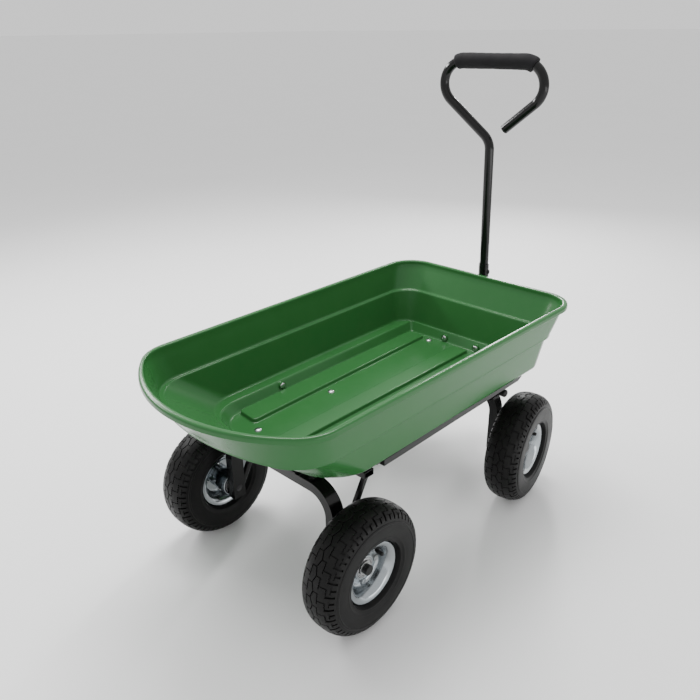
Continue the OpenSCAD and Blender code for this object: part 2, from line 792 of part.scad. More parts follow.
function casing_arc(inset, t0, t1, n) =
    [for (i = [0:n]) casing_point(tyre_a - inset, tyre_b - inset, t0 + (t1 - t0) * i / n)];

module tyre_solid() {
    rotate_extrude($fn = 72) polygon(concat(
        casing_arc(0, -bead_t, 180 + bead_t, 26),
        casing_arc(tyre_wall, 180 + bead_t, -bead_t, 22)));
}

module inner_tube_solid() {
    gap = 0.4;
    rotate_extrude($fn = 72) difference() {
        polygon(casing_arc(tyre_wall + gap, -90, 269, 30));
        polygon(casing_arc(tyre_wall + gap + 2.5, -90, 269, 30));
    }
    rotate([0, 0, 45]) translate([0, 0, valve_w]) {
        rotate([0, 90, 0]) translate([0, 0, 36]) cylinder(r = valve_r, h = tyre_mid_r - tyre_b + 10 - 36);
        translate([38, 0, 0]) cylinder(r = 4, h = 16);
    }
}

module rim_half() {
    difference() {
        rotate_extrude($fn = 72) polygon(rim_pts);
        for (i = [0:3]) rotate([0, 0, 90 * i]) translate([rim_bolt_pcr, 0, -inf])
            cylinder(r = rim_bolt_r + slip_gap, h = 5);
    }
}

module outer_rim_solid() {
    difference() {
        rim_half();
        rotate([0, 0, 45]) translate([0, 0, valve_w]) rotate([0, 90, 0]) cylinder(r = valve_r + 1, h = 60);
    }
}

module hub_solid() {
    difference() {
        translate([0, 0, hub_in]) cylinder(r = hub_r, h = hub_out - hub_in);
        translate([0, 0, hub_in - inf]) cylinder(r = seat_r - 4, h = hub_out - hub_in + 2 * inf);
        translate([0, 0, hub_in - inf]) cylinder(r = seat_r, h = bearing_w + inf);
        translate([0, 0, hub_out - bearing_w]) cylinder(r = seat_r, h = bearing_w + inf);
    }
}

module bearings_solid() {
    for (z = [hub_in, hub_out - bearing_w]) translate([0, 0, z]) ring(axle_r + run_gap, seat_r, bearing_w);
}

// Four bolts that clamp the two rim halves together, heads outboard
module rim_bolts_solid() {
    for (i = [0:3]) rotate([0, 0, 90 * i]) translate([rim_bolt_pcr, 0, 0]) {
        translate([0, 0, -11]) cylinder(r = rim_bolt_r, h = 13);
        translate([0, 0, 2]) cylinder(r = 6.8, h = 5, $fn = 6);
        translate([0, 0, -8]) hex_nut(6.8, 6, rim_bolt_r);
    }
}

// Local Z of a wheel points outboard. Front wheels turn with the front arch.
module at_wheel(front, side) {
    if (front) at_kingpin() translate([0, side * track / 2, axle_h]) rotate([-90 * side, 0, 0]) children();
    else at_rear() translate([0, side * track / 2, axle_h]) rotate([-90 * side, 0, 0]) children();
}

module tyre(front, side) {
    color("black") at_wheel(front, side) tyre_solid();
}

module inner_tube(front, side) {
    color("darkslategray") at_wheel(front, side) inner_tube_solid();
}

module outer_rim(front, side) {
    color("lightgray") at_wheel(front, side) outer_rim_solid();
}

module inner_rim(front, side) {
    color("lightgray") at_wheel(front, side) mirror([0, 0, 1]) rim_half();
}

module hub(front, side) {
    color("lightgray") at_wheel(front, side) hub_solid();
}

module bearings(front, side) {
    color("gray") at_wheel(front, side) bearings_solid();
}

module rim_bolts(front, side) {
    color("silver") at_wheel(front, side) rim_bolts_solid();
}

rear_arch();
rear_braces();
rear_crossmember();
backbone();
bolster_plate();
hinge_brackets();
hinge_pins();
rear_axle();
rear_axle_washers();
rear_axle_caps();
kingpin();
latch_keeper();
tray();
tray_frame();
floor_bolts();
wall_bolts();
front_bracket();
front_arch();
thrust_washer();
front_axle();
front_axle_washers();
front_axle_caps();
drawbar();
yoke_bolt();
handle_socket();
handle_loop();
handle_grip();
handle_screw();
release_lever();
release_knob();
latch_spring();
tyre(false, 1);  // rear_left_tyre
inner_tube(false, 1);  // rear_left_inner_tube
outer_rim(false, 1);  // rear_left_outer_rim
inner_rim(false, 1);  // rear_left_inner_rim
hub(false, 1);  // rear_left_hub
bearings(false, 1);  // rear_left_bearings
rim_bolts(false, 1);  // rear_left_rim_bolts
tyre(false, -1);  // rear_right_tyre
inner_tube(false, -1);  // rear_right_inner_tube
outer_rim(false, -1);  // rear_right_outer_rim
inner_rim(false, -1);  // rear_right_inner_rim
hub(false, -1);  // rear_right_hub
bearings(false, -1);  // rear_right_bearings
rim_bolts(false, -1);  // rear_right_rim_bolts
tyre(true, 1);  // front_left_tyre
inner_tube(true, 1);  // front_left_inner_tube
outer_rim(true, 1);  // front_left_outer_rim
inner_rim(true, 1);  // front_left_inner_rim
hub(true, 1);  // front_left_hub
bearings(true, 1);  // front_left_bearings
rim_bolts(true, 1);  // front_left_rim_bolts
tyre(true, -1);  // front_right_tyre
inner_tube(true, -1);  // front_right_inner_tube
outer_rim(true, -1);  // front_right_outer_rim
inner_rim(true, -1);  // front_right_inner_rim
hub(true, -1);  // front_right_hub
bearings(true, -1);  // front_right_bearings
rim_bolts(true, -1);  // front_right_rim_bolts
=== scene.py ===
import json
from math import atan2, cos, hypot, pi, radians, sin, sqrt

import bmesh
import bpy
from mathutils import Matrix, Vector, noise


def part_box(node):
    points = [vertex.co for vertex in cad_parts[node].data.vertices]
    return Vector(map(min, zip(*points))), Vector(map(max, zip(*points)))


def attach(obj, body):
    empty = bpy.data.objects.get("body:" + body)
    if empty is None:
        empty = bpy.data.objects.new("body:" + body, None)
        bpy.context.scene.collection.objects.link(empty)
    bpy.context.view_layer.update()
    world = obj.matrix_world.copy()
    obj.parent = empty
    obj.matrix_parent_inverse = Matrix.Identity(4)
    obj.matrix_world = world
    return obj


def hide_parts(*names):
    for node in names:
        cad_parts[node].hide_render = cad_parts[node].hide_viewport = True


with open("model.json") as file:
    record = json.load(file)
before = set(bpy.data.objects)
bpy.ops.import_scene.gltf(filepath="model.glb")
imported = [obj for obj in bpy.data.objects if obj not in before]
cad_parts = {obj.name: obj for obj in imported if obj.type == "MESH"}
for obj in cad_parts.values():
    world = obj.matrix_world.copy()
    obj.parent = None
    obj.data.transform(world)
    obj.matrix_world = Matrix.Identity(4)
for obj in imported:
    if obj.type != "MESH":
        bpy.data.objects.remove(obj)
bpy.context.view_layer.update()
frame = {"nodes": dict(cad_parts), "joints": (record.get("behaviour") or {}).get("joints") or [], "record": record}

MM = 0.001
RECORD = frame["record"]
BODY_OF = {node: body for body, nodes in RECORD["behaviour"]["bodies"].items() for node in nodes}
SLOT_OF = {part["node"]: part["material_slot"] for part in RECORD["subparts"]}
JOINTS = {joint["name"]: joint for joint in frame["joints"]}
UP = Vector((0, 0, 1))


# ---------- hand tools ----------

def deselect_everything():
    if bpy.context.object and bpy.context.object.mode != "OBJECT":
        bpy.ops.object.mode_set(mode="OBJECT")
    bpy.ops.object.select_all(action="DESELECT")


def take(*pieces):
    """Selects only these pieces and makes the first one active."""
    deselect_everything()
    for piece in pieces:
        piece.select_set(True)
    bpy.context.view_layer.objects.active = pieces[0]


def open_mesh(piece):
    """Edit mode on one piece."""
    take(piece)
    bpy.ops.object.mode_set(mode="EDIT")
    return bmesh.from_edit_mesh(piece.data)


def close_mesh():
    bpy.ops.object.mode_set(mode="OBJECT")


def pick_faces(piece, test):
    """In edit mode, selects the faces whose middle and normal pass the test."""
    bpy.ops.mesh.select_all(action="DESELECT")
    bpy.ops.mesh.select_mode(type="FACE")
    mesh = bmesh.from_edit_mesh(piece.data)
    for face in mesh.faces:
        face.select = bool(test(face.calc_center_median(), face.normal))
    mesh.select_flush_mode()
    bmesh.update_edit_mesh(piece.data)


def pick_edges(piece, test):
    """In edit mode, selects the edges that pass the test."""
    bpy.ops.mesh.select_all(action="DESELECT")
    bpy.ops.mesh.select_mode(type="EDGE")
    mesh = bmesh.from_edit_mesh(piece.data)
    mesh.normal_update()
    for edge in mesh.edges:
        edge.select = bool(test(edge))
    mesh.select_flush_mode()
    bmesh.update_edit_mesh(piece.data)


def start_ring(name, points):
    """A loop of edges through the points, left in edit mode with the loop selected."""
    deselect_everything()
    bpy.ops.mesh.primitive_circle_add(vertices=len(points), radius=0.1)
    piece = bpy.context.object
    piece.name = name
    mesh = open_mesh(piece)
    place = mesh.verts.layers.int.new("place")
    for i, vertex in enumerate(mesh.verts):
        vertex[place] = i
        vertex.co = points[i]
    bmesh.update_edit_mesh(piece.data)
    bpy.ops.mesh.select_all(action="SELECT")
    return piece


def pull_ring(piece, points):
    """Extrudes the selected loop and sets it down on the next points."""
    bpy.ops.mesh.extrude_region_move()
    mesh = bmesh.from_edit_mesh(piece.data)
    place = mesh.verts.layers.int["place"]
    for vertex in mesh.verts:
        if vertex.select:
            vertex.co = points[vertex[place]]
    bmesh.update_edit_mesh(piece.data)


def seal(piece):
    """Merges doubles, fills open ends and turns the faces outwards, then leaves edit mode."""
    bpy.ops.mesh.select_all(action="SELECT")
    bpy.ops.mesh.remove_doubles(threshold=1e-6)
    bpy.ops.mesh.fill_holes(sides=0)
    bpy.ops.mesh.select_all(action="SELECT")
    bpy.ops.mesh.normals_make_consistent(inside=False)
    close_mesh()
    return piece


def apply_modifier(piece, kind, **settings):
    take(piece)
    bpy.ops.object.modifier_add(type=kind)
    modifier = piece.modifiers[-1]
    for key, value in settings.items():
        setattr(modifier, key, value)
    bpy.ops.object.modifier_apply(modifier=modifier.name)


def boolean(piece, other, operation):
    apply_modifier(piece, "BOOLEAN", object=other, operation=operation, solver="EXACT")
    bpy.data.objects.remove(other)


def bevel(piece, width, segments=2, angle=30):
    apply_modifier(piece, "BEVEL", width=width, segments=segments, limit_method="ANGLE",
                   angle_limit=radians(angle), use_clamp_overlap=True)


def join(*pieces):
    take(*pieces)
    bpy.ops.object.join()
    return pieces[0]


def placed_copy(template, name, matrix):
    """A copy with its own mesh, set down with the matrix."""
    take(template)
    bpy.ops.object.duplicate(linked=False)
    piece = bpy.context.object
    piece.name = name
    piece.matrix_world = matrix
    bpy.ops.object.transform_apply(location=True, rotation=True, scale=True)
    return piece


def finish_piece(piece, node, smooth=35, replaces=()):
    """Shades a piece, gives it the node's finish, and lets it move and stand for the node."""
    take(piece)
    bpy.ops.object.shade_smooth_by_angle(angle=radians(smooth))
    apply_modifier(piece, "WEIGHTED_NORMAL", weight=50, keep_sharp=True)
    piece.data.materials.clear()
    piece.data.materials.append(FINISHES[SLOT_OF[node]])
    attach(piece, BODY_OF[node])
    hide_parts(node, *replaces)
    return piece


def filleted(corners, radii, steps=4):
    """The line through the corners, with each inner corner rounded over its radius."""
    points = [corners[0]]
    for before, corner, after, radius in zip(corners, corners[1:], corners[2:], radii):
        if not radius:
            points.append(corner)
            continue
        cut_in = min(radius, 0.45 * (before - corner).length)
        cut_out = min(radius, 0.45 * (after - corner).length)
        a = corner + (before - corner).normalized() * cut_in
        b = corner + (after - corner).normalized() * cut_out
        for i in range(steps + 1):
            t = i / steps
            points.append(a * (1 - t) ** 2 + corner * 2 * t * (1 - t) + b * t * t)
    points.append(corners[-1])
    return points


def turned(name, corners, radii, steps=96, round_steps=4):
    """A closed outline of (radius, height) corners in millimetres, spun round local Z."""
    flat = [Vector((r * MM, 0, w * MM)) for r, w in corners]
    middle = (flat[-1] + flat[0]) / 2
    outline = filleted([middle] + flat + [middle], [r * MM for r in radii], round_steps)[:-1]
    piece = start_ring(name, outline)
    bpy.ops.mesh.spin(steps=steps, angle=2 * pi, center=(0, 0, 0), axis=(0, 0, 1))
    return seal(piece)


def swept(name, stations, side, sides=32, closed=False):
    """Rings set down along stations of (centre, direction, radius). side is square to the route."""
    def ring(station):
        centre, direction, radius = station
        across = direction.cross(side).normalized()
        return [centre + radius * (side * cos(2 * pi * i / sides) + across * sin(2 * pi * i / sides))
                for i in range(sides)]
    piece = start_ring(name, ring(stations[0]))
    for station in stations[1:]:
        pull_ring(piece, ring(station))
    if closed:
        bpy.ops.mesh.select_all(action="SELECT")
        bpy.ops.mesh.remove_doubles(threshold=1e-6)
    return seal(piece)


# ---------- finishes ----------

def node_group(name, amounts, result):
    """A group that reads the place on the surface and some amounts, and gives out one value."""
    tree = bpy.data.node_groups.new(name, "ShaderNodeTree")
    tree.interface.new_socket(name="Vector", in_out="INPUT", socket_type="NodeSocketVector")
    for amount in amounts:
        tree.interface.new_socket(name=amount, in_out="INPUT", socket_type="NodeSocketFloat")
    tree.interface.new_socket(name=result, in_out="OUTPUT", socket_type="NodeSocketFloat")
    return tree, tree.nodes.new("NodeGroupInput"), tree.nodes.new("NodeGroupOutput")


def noise_node(tree, vector, scale, detail, rough=0.5):
    texture = tree.nodes.new("ShaderNodeTexNoise")
    texture.inputs["Detail"].default_value = detail
    texture.inputs["Roughness"].default_value = rough
    tree.links.new(vector, texture.inputs["Vector"])
    if isinstance(scale, (int, float)):
        texture.inputs["Scale"].default_value = scale
    else:
        tree.links.new(scale, texture.inputs["Scale"])
    return texture.outputs["Fac"]


def ramp_node(tree, value, low, high, low_out=0.0, high_out=1.0):
    mapper = tree.nodes.new("ShaderNodeMapRange")
    mapper.inputs["From Min"].default_value = low
    mapper.inputs["From Max"].default_value = high
    mapper.inputs["To Min"].default_value = low_out
    mapper.inputs["To Max"].default_value = high_out
    tree.links.new(value, mapper.inputs["Value"])
    return mapper.outputs["Result"]


def maths(tree, operation, a, b):
    node = tree.nodes.new("ShaderNodeMath")
    node.operation = operation
    for socket, value in zip(node.inputs, (a, b)):
        if isinstance(value, (int, float)):
            socket.default_value = value
        else:
            tree.links.new(value, socket)
    return node.outputs["Value"]


def make_grain():
    """Fine moulded or sprayed texture over a slow waviness."""
    tree, come, go = node_group("surface_grain", ["Scale", "Waviness"], "Height")
    fine = noise_node(tree, come.outputs["Vector"], come.outputs["Scale"], 3)
    slow = noise_node(tree, come.outputs["Vector"], 14, 1)
    total = maths(tree, "ADD", fine, maths(tree, "MULTIPLY", slow, come.outputs["Waviness"]))
    tree.links.new(total, go.inputs["Height"])
    return tree


def make_scuffs():
    """Thin handling scratches, crossing in two directions."""
    tree, come, go = node_group("handling_scuffs", ["Length"], "Mask")
    masks = []
    for turn in ((0.3, 0.1, 0.4), (1.2, 0.5, 1.9)):
        mapping = tree.nodes.new("ShaderNodeMapping")
        mapping.inputs["Rotation"].default_value = turn
        mapping.inputs["Scale"].default_value = (12, 420, 420)
        tree.links.new(come.outputs["Vector"], mapping.inputs["Vector"])
        lines = noise_node(tree, mapping.outputs["Vector"], 1.0, 2)
        patches = noise_node(tree, come.outputs["Vector"], come.outputs["Length"], 2)
        thin = ramp_node(tree, lines, 0.66, 0.72)
        masks.append(maths(tree, "MULTIPLY", thin, ramp_node(tree, patches, 0.52, 0.68)))
    tree.links.new(maths(tree, "MAXIMUM", *masks), go.inputs["Mask"])
    return tree


def make_dust():
    """Dust that settles on upward faces and in patches."""
    tree, come, go = node_group("settled_dust", ["Amount"], "Mask")
    geometry = tree.nodes.new("ShaderNodeNewGeometry")
    split = tree.nodes.new("ShaderNodeSeparateXYZ")
    tree.links.new(geometry.outputs["Normal"], split.inputs["Vector"])
    upward = ramp_node(tree, split.outputs["Z"], -0.2, 1.0, 0.35, 1.0)
    patches = ramp_node(tree, noise_node(tree, come.outputs["Vector"], 30, 6, 0.7), 0.42, 0.7)
    both = maths(tree, "MULTIPLY", upward, patches)
    tree.links.new(maths(tree, "MULTIPLY", both, come.outputs["Amount"]), go.inputs["Mask"])
    return tree


def make_edge_wear():
    """Rubbed outer edges."""
    tree, come, go = node_group("rubbed_edges", ["Amount"], "Mask")
    geometry = tree.nodes.new("ShaderNodeNewGeometry")
    edges = ramp_node(tree, geometry.outputs["Pointiness"], 0.53, 0.6)
    broken = ramp_node(tree, noise_node(tree, come.outputs["Vector"], 60, 5, 0.65), 0.45, 0.62)
    both = maths(tree, "MULTIPLY", edges, broken)
    tree.links.new(maths(tree, "MULTIPLY", both, come.outputs["Amount"]), go.inputs["Mask"])
    return tree


GRAIN, SCUFFS, DUST, WEAR = make_grain(), make_scuffs(), make_dust(), make_edge_wear()


class Finish:
    """One material being put together."""

    def __init__(self, name, constants):
        self.material = bpy.data.materials.new(name)
        self.material.use_nodes = True
        self.tree = self.material.node_tree
        self.shader = self.tree.nodes["Principled BSDF"]
        self.where = self.tree.nodes.new("ShaderNodeTexCoord").outputs["Object"]
        for socket, value in constants.items():
            self.shader.inputs[socket].default_value = value

    def effect(self, group, **values):
        node = self.tree.nodes.new("ShaderNodeGroup")
        node.node_tree = group
        self.tree.links.new(self.where, node.inputs["Vector"])
        for label, value in values.items():
            node.inputs[label].default_value = value
        return node.outputs[0]

    def mix(self, factor, a, b):
        node = self.tree.nodes.new("ShaderNodeMix")
        node.data_type = "RGBA"
        self.tree.links.new(factor, node.inputs["Factor"])
        for socket, value in zip((node.inputs["A"], node.inputs["B"]), (a, b)):
            if isinstance(value, tuple):
                socket.default_value = (*value, 1)
            else:
                self.tree.links.new(value, socket)
        return node.outputs["Result"]

    def colour(self, value):
        self.tree.links.new(value, self.shader.inputs["Base Color"])

    def roughness(self, value):
        self.tree.links.new(value, self.shader.inputs["Roughness"])

    def relief(self, height, strength, depth):
        bump = self.tree.nodes.new("ShaderNodeBump")
        bump.inputs["Strength"].default_value = strength
        bump.inputs["Distance"].default_value = depth
        self.tree.links.new(height, bump.inputs["Height"])
        self.tree.links.new(bump.outputs["Normal"], self.shader.inputs["Normal"])


# Colour low and high, roughness low and high, grain scale, waviness, grain strength and depth,
# then the colour and share of scuffs, the share of dust, the colour and share of rubbed edges,
# and the shader's own constants
RECIPES = {
    "green_plastic": dict(
        low=(0.024, 0.118, 0.031), high=(0.027, 0.127, 0.034), rough=(0.19, 0.24),
        grain=1100, wavy=0.0, relief=(0.04, 0.0002),
        scuff=(0.03, 0.15, 0.045), scuffed=0.0, dust=0.02,
        worn=(0.04, 0.2, 0.06), wear=0.0, constants={"Specular IOR Level": 0.26}),
    "black_paint": dict(
        low=(0.0030, 0.0030, 0.0032), high=(0.0045, 0.0045, 0.0048), rough=(0.13, 0.2),
        grain=420, wavy=0.6, relief=(0.10, 0.0003),
        scuff=(0.02, 0.02, 0.02), scuffed=0.15, dust=0.03,
        worn=(0.03, 0.03, 0.03), wear=0.1, constants={"Specular IOR Level": 0.3}),
    "black_axle": dict(
        low=(0.02, 0.02, 0.021), high=(0.05, 0.05, 0.052), rough=(0.32, 0.5),
        grain=700, wavy=0.5, relief=(0.15, 0.0003),
        scuff=(0.2, 0.2, 0.2), scuffed=0.3, dust=0.08,
        worn=(0.3, 0.3, 0.3), wear=0.5, constants={"Metallic": 0.85}),
    "zinc_hardware": dict(
        low=(0.42, 0.44, 0.46), high=(0.56, 0.56, 0.54), rough=(0.2, 0.36),
        grain=800, wavy=1.0, relief=(0.1, 0.0003),
        scuff=(0.6, 0.6, 0.6), scuffed=0.3, dust=0.03,
        worn=(0.7, 0.7, 0.7), wear=0.3, constants={"Metallic": 1.0}),
    "zinc_rim": dict(
        low=(0.30, 0.335, 0.36), high=(0.44, 0.46, 0.47), rough=(0.14, 0.26),
        grain=500, wavy=2.0, relief=(0.06, 0.0004),
        scuff=(0.6, 0.6, 0.6), scuffed=0.15, dust=0.02,
        worn=(0.6, 0.6, 0.6), wear=0.15, constants={"Metallic": 1.0}),
    "bearing_steel": dict(
        low=(0.35, 0.35, 0.36), high=(0.48, 0.48, 0.48), rough=(0.2, 0.34),
        grain=900, wavy=0.5, relief=(0.08, 0.0003),
        scuff=(0.6, 0.6, 0.6), scuffed=0.2, dust=0.05,
        worn=(0.6, 0.6, 0.6), wear=0.2, constants={"Metallic": 1.0}),
    "tyre_rubber": dict(
        low=(0.0035, 0.0035, 0.0036), high=(0.0060, 0.0059, 0.0058), rough=(0.34, 0.5),
        grain=650, wavy=0.8, relief=(0.25, 0.0004),
        scuff=(0.012, 0.012, 0.012), scuffed=0.15, dust=0.025,
        worn=(0.015, 0.015, 0.015), wear=0.1, constants={"Specular IOR Level": 0.17}),
    "tube_rubber": dict(
        low=(0.004, 0.004, 0.004), high=(0.007, 0.007, 0.007), rough=(0.35, 0.5),
        grain=700, wavy=0.5, relief=(0.2, 0.0003),
        scuff=(0.015, 0.015, 0.015), scuffed=0.15, dust=0.03,
        worn=(0.02, 0.02, 0.02), wear=0.1, constants={"Specular IOR Level": 0.2}),
    "grip_foam": dict(
        low=(0.008, 0.008, 0.009), high=(0.014, 0.013, 0.015), rough=(0.75, 0.92),
        grain=1500, wavy=0.4, relief=(0.6, 0.0005),
        scuff=(0.02, 0.02, 0.02), scuffed=0.1, dust=0.03,
        worn=(0.03, 0.03, 0.03), wear=0.1, constants={"Specular IOR Level": 0.2}),
    "black_plastic": dict(
        low=(0.004, 0.004, 0.0042), high=(0.007, 0.007, 0.007), rough=(0.3, 0.45),
        grain=1100, wavy=0.5, relief=(0.2, 0.0003),
        scuff=(0.02, 0.02, 0.02), scuffed=0.15, dust=0.03,
        worn=(0.02, 0.02, 0.02), wear=0.15, constants={"Specular IOR Level": 0.3}),
}
DUST_COLOUR = (0.20, 0.185, 0.16)


def make_finish(name):
    recipe = RECIPES[name]
    finish = Finish(name, recipe["constants"])
    mottle = noise_node(finish.tree, finish.where, 9, 4, 0.6)
    scuffs = finish.effect(SCUFFS, Length=7.0)
    colour = finish.mix(ramp_node(finish.tree, mottle, 0.3, 0.7), recipe["low"], recipe["high"])
    colour = finish.mix(maths(finish.tree, "MULTIPLY", scuffs, recipe["scuffed"]), colour, recipe["scuff"])
    colour = finish.mix(finish.effect(WEAR, Amount=recipe["wear"]), colour, recipe["worn"])
    finish.colour(finish.mix(finish.effect(DUST, Amount=recipe["dust"]), colour, DUST_COLOUR))
    rough = ramp_node(finish.tree, mottle, 0.3, 0.7, *recipe["rough"])
    rougher = maths(finish.tree, "MULTIPLY", scuffs, 0.2 * recipe["scuffed"])
    finish.roughness(maths(finish.tree, "ADD", rough, rougher))
    height = finish.effect(GRAIN, Scale=float(recipe["grain"]), Waviness=recipe["wavy"])
    finish.relief(height, *recipe["relief"])
    return finish.material


FINISHES = {name: make_finish(name) for name in RECIPES}


# ---------- moulded tray ----------

REAR_X = (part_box("rear_axle")[0].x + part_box("rear_axle")[1].x) / 2
WALL = 3
TAPER = 6
# Outlines of the tray: half width, front x, rear x, front and rear corner radius, radius of the rear bow
LIP = (252, 703, -231, 75, 90, 320)
WALL_TOP = (243, 694, -221, 68, 86, 330)
LEDGE_OUT = (232, 664, -182, 64, 93, 450)
LEDGE_IN = (225, 658, -174, 60, 88, 460)
SHELF = (211, 640, -63, 48, 88, 500)
RECESS_TOP = (184, 637, -59, 10, 78, 500)
RECESS_LOW = (172, 624, -41, 9, 72, 500)
RIM_Z, LIP_LOW_Z, LEDGE_Z, SHELF_Z, FLOOR_Z = 470, 458, 400, 320, 297
# Seats of the wall bolts: radius, faces and middles, and where they end in the wall at floor level
SEAT_R, SIDE_BOLT_X, SIDE_SEAT_Y, FRONT_SEAT_X = 9, 160, 166.93, 622.2
SIDE_SEAT_END, FRONT_SEAT_END = 165.8, 622.5
SEAT_Z = (309, 306)
SEAT_SLOPE = [(RECESS_TOP[i] - RECESS_LOW[i]) / (SHELF_Z - FLOOR_Z) for i in (0, 1)]
SEAT_ANGLES = [2 * pi * i / 32 for i in range(32)]
FRONT_BOLT_Y = (62, -34)


def at_tray(x, y, z):
    return Vector((REAR_X + x * MM, y * MM, z * MM))


def arc(centre, radius, start, end, count):
    return [(centre[0] + radius * cos(start + (end - start) * i / count),
             centre[1] + radius * sin(start + (end - start) * i / count)) for i in range(count)]


def line(start, end, count):
    return [(start[0] + (end[0] - start[0]) * i / count, start[1] + (end[1] - start[1]) * i / count)
            for i in range(count)]


def tray_ring(outline, inset, z):
    """Points round the tray at one level, always as many and in the same order."""
    half, front, rear, front_r, rear_r, bow_r = outline
    half, front, rear = half - inset, front - inset, rear + inset
    front_r, rear_r, bow_r = max(front_r - inset, 2), rear_r - inset, bow_r - inset
    rear_half = half - TAPER
    bow_x = rear + bow_r
    corner_x = bow_x - sqrt((bow_r - rear_r) ** 2 - (rear_half - rear_r) ** 2)
    join_angle = atan2(rear_half - rear_r, corner_x - bow_x)
    points = arc((front - front_r, half - front_r), front_r, 0, pi / 2, 14)
    points += line((front - front_r, half), (corner_x, rear_half), 26)
    points += arc((corner_x, rear_half - rear_r), rear_r, pi / 2, join_angle, 14)
    points += arc((bow_x, 0), bow_r, join_angle, 2 * pi - join_angle, 24)
    points += arc((corner_x, rear_r - rear_half), rear_r, 2 * pi - join_angle, 1.5 * pi, 14)
    points += line((corner_x, -rear_half), (front - front_r, -half), 26)
    points += arc((front - front_r, front_r - half), front_r, 1.5 * pi, 2 * pi, 14)
    points += line((front, front_r - half), (front, half - front_r), 14)
    return [at_tray(x, y, z) for x, y in points]


def raised_rib(corners, corner_r):
    """A rib with a flared foot, sloping sides and a rounded top, standing a little into the floor."""
    deselect_everything()
    bpy.ops.mesh.primitive_plane_add(size=0.1)
    rib = bpy.context.object
    mesh = open_mesh(rib)
    mesh.verts.ensure_lookup_table()
    for vertex, (x, y) in zip([mesh.verts[i] for i in (0, 1, 3, 2)], corners):
        vertex.co = (REAR_X + x * MM, y * MM, (FLOOR_Z - 1) * MM)
    bmesh.update_edit_mesh(rib.data)
    bpy.ops.mesh.select_all(action="SELECT")
    bpy.ops.mesh.normals_make_consistent(inside=False)
    bpy.ops.mesh.bevel(offset=corner_r * MM, segments=6, affect="VERTICES")
    bpy.ops.mesh.select_all(action="SELECT")
    bpy.ops.mesh.extrude_region_move(TRANSFORM_OT_translate={"value": (0, 0, 1.05 * MM)})
    for thickness, depth in ((1.3, 0.35), (0.9, 0.7), (0.7, 1.1), (0.9, 3.4), (0.5, 0.9), (0.7, 0.75),
                             (0.9, 0.5), (1.2, 0.25)):
        bpy.ops.mesh.inset(thickness=thickness * MM, depth=depth * MM)
    return seal(rib)


def bolt_seat(points, wall_points):
    """A flat boss moulded on a sloping wall, from the face under a bolt head into the wall."""
    seat = start_ring("bolt_seat", points)
    pull_ring(seat, wall_points)
    return seal(seat)


def side_bolt_seat(side):
    ring = [(SIDE_BOLT_X + SEAT_R * cos(a), SEAT_Z[0] + SEAT_R * sin(a)) for a in SEAT_ANGLES]
    face = [at_tray(x, side * SIDE_SEAT_Y, z) for x, z in ring]
    in_wall = [(x, side * (SIDE_SEAT_END + SEAT_SLOPE[0] * (z - FLOOR_Z)), z) for x, z in ring]
    return bolt_seat(face, [at_tray(*point) for point in in_wall])


def front_bolt_seat(middle_y):
    ring = [(middle_y + SEAT_R * cos(a), SEAT_Z[1] + SEAT_R * sin(a)) for a in SEAT_ANGLES]
    face = [at_tray(FRONT_SEAT_X, y, z) for y, z in ring]
    return bolt_seat(face, [at_tray(FRONT_SEAT_END + SEAT_SLOPE[1] * (z - FLOOR_Z), y, z) for y, z in ring])


def make_tray():
    rise = LEDGE_Z - 4
    sections = [(RECESS_LOW, WALL + 14, FLOOR_Z, 0), (RECESS_LOW, WALL, FLOOR_Z, 6),
                (RECESS_TOP, WALL, SHELF_Z, 5), (SHELF, WALL, SHELF_Z, 7), (LEDGE_IN, WALL, LEDGE_Z, 4.5),
                (LEDGE_OUT, WALL, LEDGE_Z, 5), (WALL_TOP, WALL, LIP_LOW_Z, 12), (WALL_TOP, WALL, RIM_Z, 4),
                (LIP, 0, RIM_Z, 6.5), (LIP, 0, LIP_LOW_Z, 1.4), (LIP, WALL, LIP_LOW_Z, 1.2),
                (LIP, WALL, RIM_Z - WALL, 3.5), (WALL_TOP, 0, RIM_Z - WALL, 2), (WALL_TOP, 0, LIP_LOW_Z, 9),
                (LEDGE_OUT, 0, LEDGE_Z, 5), (LEDGE_OUT, 0, rise, 1.6), (LEDGE_IN, 0, rise, 4),
                (SHELF, 0, SHELF_Z - WALL, 8), (RECESS_TOP, 0, SHELF_Z - WALL, 2),
                (RECESS_LOW, 0, FLOOR_Z - WALL, 8), (RECESS_LOW, 14, FLOOR_Z - WALL, 0)]
    rings = [tray_ring(outline, inset, z) for outline, inset, z, _ in sections]
    radii = [radius * MM for _, _, _, radius in sections[1:-1]]
    ways = [filleted([ring[i] for ring in rings], radii) for i in range(len(rings[0]))]
    tray = start_ring("tray_shell", [way[0] for way in ways])
    for k in range(1, len(ways[0])):
        pull_ring(tray, [way[k] for way in ways])
    seal(tray)
    ribs = [raised_rib([(-12, -26), (612, -26), (612, 26), (-12, 26)], 12)]
    for side in (1, -1):
        corners = [(20, side * 99), (612, side * 112), (612, side * 168), (26, side * 164)]
        ribs.append(raised_rib(corners, 14))
    seats = [side_bolt_seat(side) for side in (1, -1)] + [front_bolt_seat(y) for y in FRONT_BOLT_Y]
    for raised in ribs + seats:
        boolean(tray, raised, "UNION")
    return finish_piece(tray, "tray", smooth=40)


# ---------- softened steel parts ----------

